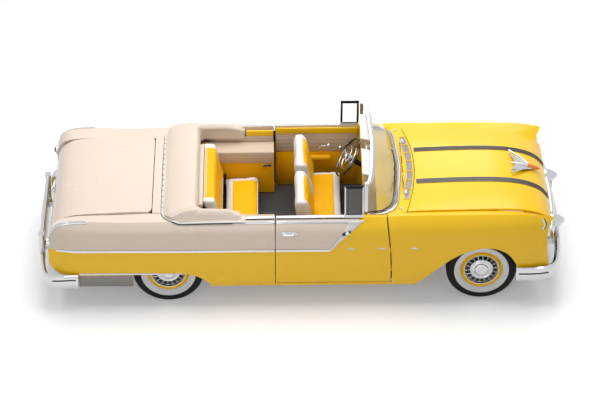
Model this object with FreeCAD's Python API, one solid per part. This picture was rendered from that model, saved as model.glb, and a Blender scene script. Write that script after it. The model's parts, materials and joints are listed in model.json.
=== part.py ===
import FreeCAD, Part
import math
import os

os.makedirs("parts", exist_ok=True)

# A large two-tone convertible of the middle 1950s, with its roof folded under a boot cover.
# X points forward, Y to the car's left and Z up. The origin is on the ground, under the middle of
# the car. Lengths are in millimetres. A table of shares gives an outline as shares of the half
# length, the half width and the body height, in that order.

# Whole car
length = 5339.0
width = 1915.0
body_height = 1000.0
half_length = length / 2
half_width = width / 2
wheelbase = 3150.0
front_axle_x = 1805.0
overrun = 60.0
seat_gap = 0.3
panel_gap = 7.0
profile_runs = 12
plan_runs = 20
ring_runs = 6
tyre_runs = 48

# Side panels
skin = 18.0
side_bottom_z = 236.0
belly_drop = 370.0
side_belly_z = body_height - belly_drop
cap_front_setback = 294.5
cap_front_x = half_length - cap_front_setback
cap_rear_setback = 229.5
cap_rear_x = cap_rear_setback - half_length
wall_rear_x = -935.0

# Doors
door_front_x = 885.0
door_rear_x = -265.0
door_bottom_z = 286.0
door_depth = 154.5
door_inner_y = half_width - door_depth
door_lean = 52.0
door_rear_relief = 9.0
hinge_gap = 13.0
hinge_x = 880.0
hinge_inset = 12.5
hinge_y = half_width - hinge_inset
hinge_pin_radius = 4.0
hinge_height = 50.0
hinge_lug = 16.0
lower_hinge_z = 455.0
upper_hinge_drop = 310.0
upper_hinge_z = body_height - upper_hinge_drop
cowl_inset = 162.5
cowl_side_y = half_width - cowl_inset

# Hood and trunk lid
hood_sheet = 24.0
hood_rear_x = 1152.0
hood_corner_x = 1047.0
lid_front_x = -1500.0
lid_rear_setback = 129.5
lid_rear_x = lid_rear_setback - half_length
lid_sheet = 24.0
lid_corner = 90.0

# Cowl, firewall and deck
cowl_rear_x = 620.0
cowl_sheet = 20.0
firewall_x = 1085.0
firewall_sheet = 16.0
dash_wall_half = 560.0
deck_front_x = -1065.0
deck_sheet = 16.0
deck_drop = 5.0
deck_top_z = body_height - deck_drop
deck_crown = 20.0
tail_drop = 600.0
tail_bottom_z = body_height - tail_drop
tail_sheet = 18.0
tail_lip = 24.0
tail_setback = 179.5
tail_x = tail_setback - half_length

# Nose, grille and lamps
nose_setback = 239.5
nose_x = half_length - nose_setback
nose_sheet = 30.0
nose_drop = 170.0
nose_top_z = body_height - nose_drop
nose_height = 404.0
nose_bottom_z = nose_top_z - nose_height
grille_inset = 367.5
grille_half_width = half_width - grille_inset
grille_drop = 210.0
grille_top_z = body_height - grille_drop
grille_height = 338.0
grille_bottom_z = grille_top_z - grille_height
grille_depth = 16.0
grille_bar = 9.0
grille_columns = 18
grille_rows = 7
lamp_inset = 179.5
lamp_y = half_width - lamp_inset
lamp_drop = 188.0
lamp_z = body_height - lamp_drop
lamp_radius = 84.0
lamp_ring = 10.0
lamp_depth = 50.0
lamp_bulge = 26.0
tail_lamp_inset = 129.5
tail_lamp_y = half_width - tail_lamp_inset
tail_lamp_drop = 262.0
tail_lamp_z = body_height - tail_lamp_drop
tail_lamp_radius = 46.0
tail_lamp_ring = 9.0
tail_lamp_depth = 50.0
tail_lamp_reach = 42.0

# Windshield and vent windows
glass = 7.0
header_rise = 325.0
header_z = body_height + header_rise
frame_bar = 24.0
frame_rise = 30.0
pillar_width = 34.0
vent_front_x = 612.0
vent_rear_x = 420.0
vent_foot_rise = 33.0
vent_foot_z = body_height + vent_foot_rise
vent_top_rise = 352.0
vent_top_z = body_height + vent_top_rise
vent_foot_inset = 124.5
vent_foot_y = half_width - vent_foot_inset
vent_top_inset = 187.5
vent_top_y = half_width - vent_top_inset
vent_bar = 16.0
vent_top_bar = 24.0
pane_gap = 0.6

# Wheels and tyres
tyre_radius = 355.0
tyre_width = 196.0
bead_radius = 212.0
rim_width = 144.0
front_wheel_inset = 212.5
rear_wheel_inset = 207.5
drum_radius = 150.0
drum_width = 62.0
hub_radius = 62.0
bore_radius = 24.0
spoke_count = 24
spoke_wire = 4.0

# Steering and suspension
kingpin_inset = 302.5
kingpin_y = half_width - kingpin_inset
kingpin_radius = 18.0
kingpin_reach = 132.0
arm_height = 30.0
arm_width = 56.0
arm_spread = 130.0
spindle_gap = 1.0
steering_arm_reach = 120.0
crossmember_width = 150.0
axle_radius = 42.0
differential_radius = 135.0
differential_length = 210.0
spring_width = 62.0
spring_height = 36.0
spring_y = 470.0
spring_reach = 480.0

# Frame
rail_y = 345.0
rail_width = 70.0
rail_height = 80.0
rail_low_z = 215.0
rail_front_z = 340.0
rail_rear_z = 470.0
rail_front_setback = 269.5
rail_front_x = half_length - rail_front_setback
rail_rear_setback = 229.5
rail_rear_x = rail_rear_setback - half_length
frame_wall = 4.0
cross_places_shares = (0.20, -0.02, -0.24)
cross_width = 90.0
pad_radius = 32.0
rail_kick = 330.0
outrigger_inset = 177.5
outrigger_y = half_width - outrigger_inset
rear_pad_setback = 769.5
rear_pad_x = rear_pad_setback - half_length

# Floor
floor_z = 352.0
floor_sheet = 14.0
sill_z = 278.0
sill_depth = 222.5
sill_inner_y = half_width - sill_depth
tunnel_half = 130.0
tunnel_rise = 95.0
floor_rear_x = -830.0
trunk_floor_z = 600.0
trunk_inset = 342.5
trunk_half = half_width - trunk_inset
toe_x = 930.0
toe_z = 500.0
trunk_wall_drop = 200.0
trunk_wall_z = body_height - trunk_wall_drop

# Engine, tank and exhaust
engine_front_x = 2010.0
engine_rear_x = 1250.0
engine_half = 255.0
engine_drop = 120.0
engine_top_z = body_height - engine_drop
engine_bottom_z = 372.0
engine_foot = 60.0
engine_foot_x = 1640.0
tank_front_setback = 689.5
tank_front_x = tank_front_setback - half_length
tank_rear_setback = 324.5
tank_rear_x = tank_rear_setback - half_length
tank_half = 335.0
tank_height = 150.0
tank_edge = 30.0
pipe_y = 265.0
pipe_z = 178.0
pipe_radius = 26.0
muffler_radius = 62.0
muffler_length = 620.0
muffler_x = 60.0
pipe_front_x = 1180.0
pipe_rear_setback = 249.5
pipe_rear_x = pipe_rear_setback - half_length

# Seats and trim
seat_front_x = 450.0
seat_rear_x = -10.0
seat_inset = 292.5
seat_half = half_width - seat_inset
seat_top_z = 600.0
seat_edge = 40.0
back_rise = 90.0
back_top_z = body_height + back_rise
back_thickness = 165.0
back_lean = 110.0
back_split = 12.0
rear_cushion_front_x = -400.0
rear_cushion_rear_x = -800.0
rear_back_x = -1015.0
rear_seat_inset = 397.5
rear_seat_half = half_width - rear_seat_inset
shelf_clearance = 12.0
rear_back_rise = 40.0
rear_back_top_z = body_height + rear_back_rise
rear_trim_top_z = body_height
trim_inset = 197.5
trim_outer_y = half_width - trim_inset
trim_drop = 140.0
boot_rear_x = -1390.0
boot_front_x = -570.0
boot_inset = 94.5
boot_half = half_width - boot_inset
boot_inner_inset = 222.5
boot_inner_half = half_width - boot_inner_inset
boot_inner_x = -1030.0
boot_drop = 95.0
boot_bottom_z = body_height - boot_drop
boot_rise = 75.0
boot_top_z = body_height + boot_rise
boot_edge = 60.0

# Dashboard and steering wheel
dash_rear_x = 640.0
dash_front_x = 800.0
dash_drop = 230.0
dash_bottom_z = body_height - dash_drop
dash_edge = 50.0
wheel_centre_x = 489.0
wheel_centre_y = 360.0
wheel_centre_drop = 70.0
wheel_centre_z = body_height - wheel_centre_drop
wheel_ring_radius = 213.0
wheel_ring_tube = 11.0
wheel_rake = 33.6
wheel_hub_radius = 40.0
wheel_hub_depth = 46.0
spoke_width = 26.0
spoke_sheet = 9.0
column_radius = 26.0
column_gap = 1.0

# Bumpers
bumper_z = 392.0
bumper_height = 165.0
bumper_depth = 66.0
bullet_y = 400.0
bullet_z = 655.0
bullet_radius = 78.0
bullet_setback = 201.5
bullet_base_x = half_length - bullet_setback
upper_bar_z = 655.0
upper_bar_height = 92.0
upper_bar_depth = 56.0
upper_bar_setback = 134.5
upper_bar_x = half_length - upper_bar_setback
bracket_width = 50.0
bracket_height = 60.0
rear_bumper_z = 340.0
rear_bumper_height = 180.0
rear_bar_z = 590.0
rear_bar_height = 62.0
rear_bar_depth = 46.0
rear_bar_setback = 47.5
rear_bar_x = rear_bar_setback - half_length
guard_y = 530.0
guard_width = 84.0
guard_depth = 60.0
post_setback = 119.5
post_x = half_length - post_setback
plate_setback = 15.0
plate_x = plate_setback - half_length
plate_sheet = 9.0
plate_half = 152.0
plate_bolt_z = 470.0
plate_bolt_spacing = 178.0
plate_bolt_radius = 3.5

# Hood ornament
ornament_setback = 229.5
ornament_front_x = half_length - ornament_setback
ornament_front_rise = 10.0
ornament_front_z = body_height + ornament_front_rise
ornament_rear_rise = 104.0
ornament_rear_z = body_height + ornament_rear_rise
ornament_length = 330.0
ornament_height = 62.0
ornament_span = 150.0

rear_axle_x = front_axle_x - wheelbase
front_wheel_y = half_width - front_wheel_inset
rear_wheel_y = half_width - rear_wheel_inset
fender_rear_x = door_front_x + hinge_gap
quarter_front_x = door_rear_x - panel_gap

# Side body stations: along, widest, crest across and up, seam across and up
side_shares = (
    (-0.948, 0.920, 0.868, 0.790, 0.760, 0.765),
    (-0.925, 0.945, 0.882, 0.935, 0.745, 0.900),
    (-0.885, 0.972, 0.890, 0.982, 0.735, 0.946),
    (-0.740, 0.992, 0.892, 0.987, 0.721, 0.966),
    (-0.504, 1.000, 0.897, 0.986, 0.722, 0.980),
    (-0.370, 1.000, 0.896, 0.996, 0.806, 1.006),
    (-0.180, 0.999, 0.890, 1.008, 0.844, 1.024),
    (0.112, 0.998, 0.888, 1.015, 0.846, 1.032),
    (0.260, 0.998, 0.884, 1.020, 0.834, 1.028),
    (0.400, 0.998, 0.879, 1.031, 0.786, 1.013),
    (0.560, 0.997, 0.878, 1.034, 0.773, 1.014),
    (0.740, 0.988, 0.875, 1.033, 0.756, 1.004),
    (0.870, 0.960, 0.865, 1.022, 0.729, 0.950),
    (0.938, 0.915, 0.850, 0.992, 0.705, 0.870),
)
side_step_shares = (0.0, 0.18, 0.42, 0.62, 0.82, 0.91, 1.0)
skin_turn_shares = ((1.0, 0.0), (1.0, 0.0), (1.0, 0.0), (1.0, 0.1), (0.75, 0.65), (0.3, 1.0), (0.0, 1.0))


def vec(x, y, z):
    return FreeCAD.Vector(x, y, z)


def slab(x_low, x_high, y_low, y_high, z_low, z_high):
    """A box between two corners."""
    return Part.makeBox(x_high - x_low, y_high - y_low, z_high - z_low, vec(x_low, y_low, z_low))


def mirrored(shape):
    """The same piece on the car's right side."""
    return shape.mirror(vec(0, 0, 0), vec(0, 1, 0))


def smooth(points, steps=None):
    """One smooth edge through points, at even steps or at given ones."""
    if steps is None:
        steps = [index / (len(points) - 1) for index in range(len(points))]
    curve = Part.BSplineCurve()
    curve.interpolate(Points=points, Parameters=list(steps))
    return curve.toShape()


def traced(points, count, steps=None):
    """A smooth line through points, as a chain of short straight runs."""
    curve = smooth(points, steps)
    low, high = curve.ParameterRange
    run = (high - low) / count
    return [curve.valueAt(low + run * index) for index in range(count + 1)]


def straight(start, end):
    return Part.LineSegment(start, end).toShape()


def joined(edges):
    return Part.Wire(edges)


def polygon(points):
    return Part.makePolygon(list(points) + [points[0]])


def extruded(wire, direction):
    return Part.Face(wire).extrude(direction)


def side_prism(wire, low, high):
    """A wire drawn in the XZ plane at Y zero, drawn out from Y low to Y high."""
    shape = extruded(wire, vec(0, high - low, 0))
    shape.translate(vec(0, low, 0))
    return shape


def loft(wires, ruled=False):
    return Part.makeLoft(wires, True, ruled)


def rod(start, end, radius):
    """A round bar between two points."""
    along = end.sub(start)
    return Part.makeCylinder(radius, along.Length, start, along)


def fused(shapes):
    result = shapes[0]
    if len(shapes) > 1:
        result = shapes[0].fuse(list(shapes[1:]))
    return result.removeSplitter()


def save(name, *shapes):
    """One STEP file; several pieces in it are separate solids."""
    whole = shapes[0] if len(shapes) == 1 else Part.makeCompound(list(shapes))
    whole.exportStep("parts/%s.step" % name)


# Side body

def side_points(row, wall):
    """Outer section points from the sill up to the seam, set in by a wall."""
    along, widest, crest_y, crest_z, seam_y, seam_z = row
    wide = widest * half_width
    top_y = crest_y * half_width
    top_z = crest_z * body_height
    rise = top_z - side_belly_z
    drop = side_belly_z - side_bottom_z
    lower_y = wide * 0.992
    upper_y = wide * 0.985
    pairs = (
        (wide * 0.945, side_bottom_z),
        (lower_y, side_bottom_z + drop * 0.42),
        (wide, side_belly_z),
        (upper_y, side_belly_z + rise * 0.45),
        (top_y + (upper_y - top_y) * 0.62, side_belly_z + rise * 0.83),
        (top_y, top_z),
        (seam_y * half_width, seam_z * body_height),
    )
    points = []
    for (across, up), (turn_y, turn_z) in zip(pairs, skin_turn_shares):
        points.append(vec(along * half_length, across - wall * turn_y, up - wall * turn_z))
    return points


def side_wire(row, wall, reach):
    """Closed section; reach opens it past the seam and the sill."""
    line = traced(side_points(row, wall), profile_runs, side_step_shares)
    inner = line[-1] + vec(0, -reach, 0)
    floor = vec(inner.x, inner.y, side_bottom_z - reach)
    if reach:
        return polygon(line + [inner, floor, vec(inner.x, line[0].y, side_bottom_z - reach)])
    return polygon(line + [floor])


def side_body():
    return loft([side_wire(row, 0, 0) for row in side_shares])


def side_hollow(low, high):
    """What is taken out of the side body to leave its skin, between two places along the car."""
    hollow = loft([side_wire(row, skin, overrun * 2) for row in side_shares], True)
    return hollow.common(slab(low, high, 0, width, -overrun, body_height * 2))


door_front_shares = ((0.0, 0.0), (0.36, 0.1), (0.68, 0.46), (1.0, 1.0))


def door_prism(front, rear, below):
    """The door's outline seen from the side, grown by a gap at its front, rear and bottom."""
    rise = body_height - door_bottom_z + overrun
    line = []
    for up, lean in door_front_shares:
        line.append(vec(door_front_x + front - door_lean * lean, 0, door_bottom_z + rise * up))
    foot = vec(line[0].x, 0, door_bottom_z - below)
    rear_foot = vec(door_rear_x - rear, 0, door_bottom_z - below)
    rear_top = vec(door_rear_x - rear, 0, line[-1].z)
    edges = [smooth(line), straight(line[-1], rear_top), straight(rear_top, rear_foot), straight(rear_foot, foot)]
    if below:
        edges.append(straight(foot, line[0]))
    return side_prism(joined(edges), door_inner_y - overrun * 2, half_width + overrun)


def outline_prism(shares, closing):
    """A smooth line of shares seen from the side, closed through corner points, as a cutter."""
    line = [vec(x * half_length, 0, z * body_height) for x, z in shares]
    corners = [line[-1]] + [vec(x * half_length, 0, z * body_height) for x, z in closing] + [line[0]]
    edges = [smooth(line)]
    for start, end in zip(corners, corners[1:]):
        edges.append(straight(start, end))
    return side_prism(joined(edges), 0, width)


front_arch_shares = (
    (0.418, 0.200), (0.437, 0.270), (0.534, 0.525), (0.612, 0.655),
    (0.689, 0.702), (0.757, 0.650), (0.796, 0.529), (0.822, 0.360), (0.828, 0.200),
)
front_foot_shares = ((0.820, 0.330), (0.870, 0.345), (0.950, 0.380))
nose_line_shares = (
    (0.946, 1.080), (0.940, 0.990), (0.9225, 0.925), (0.9165, 0.800), (0.9165, 0.650), (0.925, 0.480),
    (0.930, 0.300),
)
rear_arch_shares = (
    (-0.345, 0.200), (-0.348, 0.262), (-0.372, 0.345), (-0.421, 0.412), (-0.500, 0.420),
    (-0.623, 0.408), (-0.720, 0.402), (-0.860, 0.400), (-0.915, 0.420), (-0.960, 0.560),
)


hinge_arm_shares = ((0.0, -0.27), (0.10, -1.6), (1.92, -1.6), (1.92, -0.6), (0.46, -0.92), (0.30, 0.0))


def hinge_arms():
    """Concealed hinge pins, each on the arm that the front fender carries."""
    pieces = []
    for z in (lower_hinge_z, upper_hinge_z):
        low = z - hinge_height / 2
        plan = [vec(hinge_x + x * hinge_gap, hinge_y + y * hinge_gap, low) for x, y in hinge_arm_shares]
        pieces.append(extruded(polygon(plan), vec(0, 0, hinge_height)))
        pieces.append(Part.makeCylinder(hinge_pin_radius, hinge_height, vec(hinge_x, hinge_y, low)))
    return pieces


def hinged(panel):
    """The door's knuckles round the two pins, with room for the arms to turn."""
    for z in (lower_hinge_z, upper_hinge_z):
        low = z - hinge_height / 2
        high = z + hinge_height / 2
        reach = hinge_pin_radius + seat_gap
        lug = slab(hinge_x - hinge_lug, hinge_x, hinge_y - hinge_pin_radius, hinge_y + hinge_pin_radius, low, high)
        notch = slab(hinge_x - seat_gap, hinge_x + hinge_lug, hinge_y - hinge_gap * 1.8, hinge_y + reach,
                     low - panel_gap, high + panel_gap)
        socket = Part.makeCylinder(reach, hinge_height + panel_gap * 2, vec(hinge_x, hinge_y, low - panel_gap))
        panel = panel.fuse(lug).cut(socket).cut(notch)
    return panel


def fender(body):
    """Front fender: a skin with an open wheel arch and a solid front end that holds the lamp."""
    panel = body.common(slab(door_front_x - door_lean * 2, half_length, 0, width, 0, body_height * 2))
    panel = panel.cut(side_hollow(0, cap_front_x))
    panel = panel.cut(door_prism(hinge_gap, 0, 0))
    panel = panel.cut(slab(0, fender_rear_x, 0, width, 0, door_bottom_z + overrun))
    panel = panel.cut(outline_prism(front_arch_shares, ((0.828, 0.100), (0.418, 0.100))))
    panel = panel.cut(outline_prism(front_foot_shares, ((1.000, 0.380), (1.000, 0.100), (0.820, 0.100))))
    panel = panel.cut(outline_prism(nose_line_shares, ((1.100, 0.300), (1.100, 1.080))))
    socket = rod(vec(cap_front_x + skin, lamp_y, lamp_z), vec(half_length, lamp_y, lamp_z), lamp_radius)
    return fused([panel.cut(socket)] + hinge_arms())


def quarter(body):
    """Rear quarter: a skin over the wheel, a full wall beside the rear seat and a solid rear end."""
    panel = body.common(slab(-half_length, quarter_front_x, 0, width, sill_z, body_height * 2))
    panel = panel.cut(side_hollow(cap_rear_x, wall_rear_x))
    panel = panel.cut(outline_prism(rear_arch_shares, ((-0.960, 0.100), (-0.345, 0.100))))
    panel = panel.cut(slab(wall_rear_x, 0, 0, rear_seat_half + overrun * 2, 0, body_height * 2))
    end = vec(-half_length, tail_lamp_y, tail_lamp_z)
    return panel.cut(rod(end, vec(cap_rear_x - skin, tail_lamp_y, tail_lamp_z), tail_lamp_radius))


def door(body):
    """A door as thick as the real one, from its skin to its trim."""
    panel = body.common(door_prism(0, 0, 0))
    panel = panel.common(slab(-half_length, half_length, door_inner_y, width, 0, body_height * 2))
    relief = [
        vec(door_rear_x, hinge_y, 0), vec(door_rear_x + door_rear_relief, door_inner_y, 0),
        vec(door_rear_x + door_rear_relief, door_inner_y - overrun, 0),
        vec(door_rear_x - overrun, door_inner_y - overrun, 0), vec(door_rear_x - overrun, hinge_y, 0),
    ]
    return hinged(panel.cut(extruded(polygon(relief), vec(0, 0, body_height * 2))))


def rocker(body):
    """Sill below the door, from the front wheel arch to the rear one."""
    bottom = slab(-half_length, fender_rear_x - panel_gap, sill_inner_y, width, 0, sill_z - seat_gap)
    side = body.common(bottom)
    plate = slab(rear_sill_x, fender_rear_x - panel_gap, sill_inner_y, door_inner_y + overrun,
                 side_bottom_z, sill_z - seat_gap)
    return fused([side.common(slab(rear_sill_x, half_length, 0, width, 0, body_height)), plate])


rear_sill_x = rear_arch_shares[0][0] * half_length


def stone_guard(body):
    """Bright ribbed guard on the lower quarter, behind the rear wheel."""
    low = stone_guard_shares[0] * half_length
    high = stone_guard_shares[1] * half_length
    guard = body.common(slab(low, high, 0, width, 0, body_height))
    guard = guard.common(outline_prism(rear_arch_shares, ((-0.960, 0.100), (-0.345, 0.100))))
    guard = guard.cut(side_hollow(low - overrun, high + overrun))
    guard.translate(vec(0, 0, -seat_gap))
    return guard


stone_guard_shares = (-0.839, -0.636)


# Hood, trunk lid, cowl and deck

hood_centre_shares = ((0.370, 1.060), (0.600, 1.090), (0.768, 1.084), (0.862, 1.030), (0.912, 0.950), (0.9385, 0.846))
hood_edge_shares = ((0.370, 1.012), (0.600, 1.014), (0.768, 1.000), (0.862, 0.958), (0.905, 0.918), (0.934, 0.862))
lid_centre_shares = ((-0.500, 0.995), (-0.650, 1.014), (-0.800, 1.012), (-0.890, 0.965), (-0.935, 0.850), (-0.951, 0.610))
lid_edge_shares = ((-0.500, 0.975), (-0.650, 0.976), (-0.800, 0.966), (-0.885, 0.928), (-0.932, 0.830), (-0.944, 0.610))
crown_shares = (-1.0, -0.8, -0.45, 0.0, 0.45, 0.8, 1.0)


def crowned_sheet(centre, edge, reach, sheet):
    """A pressed panel: side profiles lofted across the car, higher in the middle than at its edges."""
    wires = []
    for share in crown_shares:
        blend = abs(share) ** 2.2
        outer = []
        inner = []
        turns = len(centre) - 1
        for index, ((cx, cz), (ex, ez)) in enumerate(zip(centre, edge)):
            x = (cx + (ex - cx) * blend) * half_length
            z = (cz + (ez - cz) * blend) * body_height
            bend = math.radians(90.0) * (index / turns) ** 2
            side = math.copysign(1.0, cx)
            outer.append(vec(x, share * reach, z))
            inner.append(vec(x - side * sheet * math.sin(bend), share * reach, z - sheet * math.cos(bend)))
        wires.append(polygon(traced(outer, profile_runs) + list(reversed(traced(inner, profile_runs)))))
    return loft(wires)


def trimmed(sheet, gap):
    """A sheet cut back from both side bodies along their seams."""
    high = body_height * 2
    wires = []
    for row in side_shares:
        x = row[0] * half_length
        seam = row[4] * half_width - gap
        wires.append(polygon([vec(x, seam, 0), vec(x, width, 0), vec(x, width, high), vec(x, seam, high)]))
    outside = loft(wires)
    return sheet.cut(outside).cut(mirrored(outside))


def seam_at(x, inset):
    """Where the seam lies across the car at one place along it."""
    rows = zip(side_shares, side_shares[1:])
    for before, after in rows:
        start = before[0] * half_length
        end = after[0] * half_length
        if start <= x <= end:
            share = (x - start) / (end - start)
            return (before[4] + (after[4] - before[4]) * share) * half_width - inset
    return side_shares[-1][4] * half_width - inset


def hood():
    sheet = crowned_sheet(hood_centre_shares, hood_edge_shares, half_width * 0.86, hood_sheet)
    corner = vec(hood_corner_x, seam_at(hood_corner_x, 0), 0)
    edges = [
        Part.Arc(vec(corner.x, -corner.y, 0), vec(hood_rear_x, 0, 0), corner).toShape(),
        straight(corner, vec(half_length, corner.y, 0)),
        straight(vec(half_length, corner.y, 0), vec(half_length, -corner.y, 0)),
        straight(vec(half_length, -corner.y, 0), vec(corner.x, -corner.y, 0)),
    ]
    plan = extruded(joined(edges), vec(0, 0, body_height * 2))
    return trimmed(sheet.common(plan), panel_gap)


def trunk_lid():
    sheet = crowned_sheet(lid_centre_shares, lid_edge_shares, half_width * 0.82, lid_sheet)
    front = seam_at(lid_front_x, panel_gap)
    plan = slab(-half_length, lid_front_x, -front, front, 0, body_height * 2)
    corners = [edge for edge in plan.Edges
               if abs(edge.BoundBox.XMin - lid_front_x) < seat_gap and edge.BoundBox.ZLength > body_height]
    return trimmed(sheet.common(plan.makeFillet(lid_corner, corners)), panel_gap)


def bowed_plan(left):
    """A tall cutter, straight at the back and bowed at the front like the hood's rear edge."""
    right = [vec(p.x, -p.y, 0) for p in left]
    edges = [Part.Arc(right[0], vec(hood_rear_x - panel_gap, 0, 0), left[0]).toShape()]
    for side in (left, right):
        for start, end in zip(side, side[1:]):
            edges.append(straight(start, end))
    edges.append(straight(left[-1], right[-1]))
    return extruded(Part.Wire(Part.__sortEdges__(edges)), vec(0, 0, body_height * 2))


cowl_stations_shares = ((0.225, 0.985, 1.000), (0.300, 1.000, 1.012), (0.360, 1.012, 1.038), (0.437, 1.010, 1.066))


def cowl_top(sheet, lift):
    """Crowned skin ahead of and below the windshield, as thick as asked."""
    wires = []
    for along, edge_z, crown_z in cowl_stations_shares:
        x = along * half_length
        outer = []
        inner = []
        for share in crown_shares:
            z = (crown_z + (edge_z - crown_z) * abs(share) ** 2.2) * body_height + lift
            outer.append(vec(x, share * half_width * 0.86, z))
            inner.append(vec(x, share * half_width * 0.86, z - sheet))
        wires.append(polygon(traced(outer, profile_runs) + list(reversed(traced(inner, profile_runs)))))
    return loft(wires)


def cowl():
    """Cowl top from the windshield to the hood, with its sides and the firewall below it."""
    inset = 0
    side = [
        vec(hood_corner_x - panel_gap, seam_at(hood_corner_x, inset), 0),
        vec(fender_rear_x + panel_gap, seam_at(fender_rear_x + panel_gap, inset), 0),
        vec(fender_rear_x - panel_gap, cowl_side_y, 0),
        vec(cowl_rear_x, cowl_side_y, 0),
    ]
    side[1] = vec(side[1].x, min(side[1].y, cowl_side_y), 0)
    top = trimmed(cowl_top(cowl_sheet, 0).common(bowed_plan(side)), seat_gap)
    kick = slab(cowl_rear_x + overrun * 2, fender_rear_x - panel_gap, cowl_side_y - cowl_sheet, cowl_side_y,
                sill_z + floor_sheet + seat_gap, body_height - cowl_sheet / 2)
    low_top = body_height - hood_sheet - panel_gap * 2
    wall = slab(firewall_x - firewall_sheet, firewall_x, -firewall_half, firewall_half, floor_z, low_top)
    riser = slab(firewall_x - firewall_sheet, firewall_x, -dash_wall_half, dash_wall_half, floor_z, body_height + overrun * 2)
    riser = riser.cut(cowl_top(overrun * 4, overrun * 4 - cowl_sheet / 2))
    wing = slab(fender_rear_x - panel_gap - cowl_sheet, firewall_x, firewall_half - cowl_sheet,
                firewall_half, sill_z, low_top)
    step = slab(fender_rear_x - panel_gap - cowl_sheet, fender_rear_x - panel_gap,
                firewall_half - cowl_sheet, cowl_side_y, sill_z + floor_sheet + seat_gap,
                body_height - cowl_sheet / 2)
    return fused([top, kick, mirrored(kick), wall, riser, wing, mirrored(wing), step, mirrored(step)])


firewall_half = seam_at(firewall_x, panel_gap) - cowl_sheet


def deck():
    """Fixed panel between the folded roof and the trunk lid."""
    wires = []
    for x in (lid_front_x + panel_gap, deck_front_x):
        outer = []
        inner = []
        for share in crown_shares:
            z = deck_top_z - deck_crown * abs(share) ** 2.2
            outer.append(vec(x, share * half_width * 0.86, z))
            inner.append(vec(x, share * half_width * 0.86, z - deck_sheet))
        wires.append(polygon(traced(outer, profile_runs) + list(reversed(traced(inner, profile_runs)))))
    half = half_width * 0.86
    sheet = loft(wires).common(slab(lid_front_x, deck_front_x, -half, half, 0, body_height * 2))
    return trimmed(sheet, seat_gap)


def tail_panel():
    """Lower rear panel between the quarters, below the trunk lid."""
    half = seam_at(lid_rear_x, panel_gap / 2)
    lip_z = lid_centre_shares[-1][1] * body_height - seat_gap
    tail_top_z = lip_z - tail_lip
    plate = slab(tail_x - tail_sheet, tail_x, -half, half, tail_bottom_z, tail_top_z)
    shelf = slab(tail_x, tail_x + overrun, -trunk_half, trunk_half, tail_top_z - tail_sheet, tail_top_z)
    lip_x = lid_centre_shares[-1][0] * half_length + lid_sheet / 2
    stops = []
    for side in (1, -1):
        y = side * trunk_half / 2
        stops.append(slab(lip_x, tail_x, y - overrun / 2, y + overrun / 2, tail_top_z - tail_sheet, lip_z))
    return fused([plate, shelf] + stops)


def nose_panel():
    """Front panel between the fenders, with the grille opening."""
    panel = slab(nose_x - nose_sheet, nose_x, -half_width, half_width, nose_bottom_z, nose_top_z)
    panel = trimmed(panel, seat_gap)
    hole = slab(nose_x - nose_sheet * 2, nose_x + nose_sheet, -grille_half_width, grille_half_width,
                grille_bottom_z, grille_top_z)
    panel = panel.cut(hole)
    brow = slab(nose_x - nose_sheet, nose_x + nose_sheet, -grille_half_width, grille_half_width,
                grille_top_z, nose_top_z)
    stops = []
    for side in (1, -1):
        y = side * grille_half_width / 5
        stops.append(slab(nose_x, hood_lip_x, y - overrun / 2, y + overrun / 2, nose_top_z - nose_sheet / 2,
                          hood_centre_shares[-1][1] * body_height - seat_gap))
    return fused([panel, brow] + stops)


hood_lip_x = hood_centre_shares[-1][0] * half_length - hood_sheet / 2


def grille():
    """Fine cellular grille, one pressing with its openings cut through."""
    low = -grille_half_width + seat_gap
    high = grille_half_width - seat_gap
    bottom = grille_bottom_z + seat_gap
    top = grille_top_z - seat_gap
    front = nose_x - grille_depth / 2
    plate = slab(front - grille_depth, front, low, high, bottom, top)
    pitch_y = (high - low - grille_bar) / grille_columns
    pitch_z = (top - bottom - grille_bar) / grille_rows
    cells = []
    for column in range(grille_columns):
        for row in range(grille_rows):
            y = low + grille_bar + pitch_y * column
            z = bottom + grille_bar + pitch_z * row
            cells.append(slab(front - grille_depth * 2, front + grille_depth, y, y + pitch_y - grille_bar,
                              z, z + pitch_z - grille_bar))
    return plate.cut(Part.makeCompound(cells))


def turned(profile, centre, axis):
    """A solid of revolution: a closed profile of distance along the axis and radius."""
    side = vec(0, 0, 1)
    points = [centre + axis * along + side * radius for along, radius in profile]
    return Part.Face(polygon(points)).revolve(centre, axis, 360)


def head_lamp():
    """Sealed lamp with a bright ring, set in the fender's front."""
    forward = vec(1, 0, 0)
    face = nose_line_shares[3][0] * half_length
    centre = vec(face, lamp_y, lamp_z)
    radius = lamp_radius - seat_gap * 2
    lens_edge = radius - lamp_ring
    profile = (
        (-lamp_depth, 0), (-lamp_depth, radius * 0.6), (-lamp_depth * 0.2, radius), (lamp_ring, radius),
        (lamp_ring, lens_edge), (lamp_ring + lamp_bulge * 0.8, lens_edge * 0.5), (lamp_ring + lamp_bulge, 0),
    )
    return turned(profile, centre, forward)


def tail_lamp():
    """Round lamp in a bright housing at the end of the rear fender."""
    back = vec(-1, 0, 0)
    centre = vec(side_shares[0][0] * half_length, tail_lamp_y, tail_lamp_z)
    radius = tail_lamp_radius - seat_gap * 2
    lens = radius - tail_lamp_ring
    profile = (
        (-tail_lamp_depth, 0), (-tail_lamp_depth, radius), (tail_lamp_reach * 0.6, radius),
        (tail_lamp_reach * 0.6, lens), (tail_lamp_reach, 0),
    )
    return turned(profile, centre, back)


# Windshield and vent windows

glass_foot_shares = ((0.2385, 0.815), (0.308, 0.796), (0.356, 0.700), (0.376, 0.420), (0.389, 0.0))
glass_head_shares = ((0.2385, 0.772), (0.252, 0.735), (0.264, 0.600), (0.272, 0.340), (0.2775, 0.0))


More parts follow.
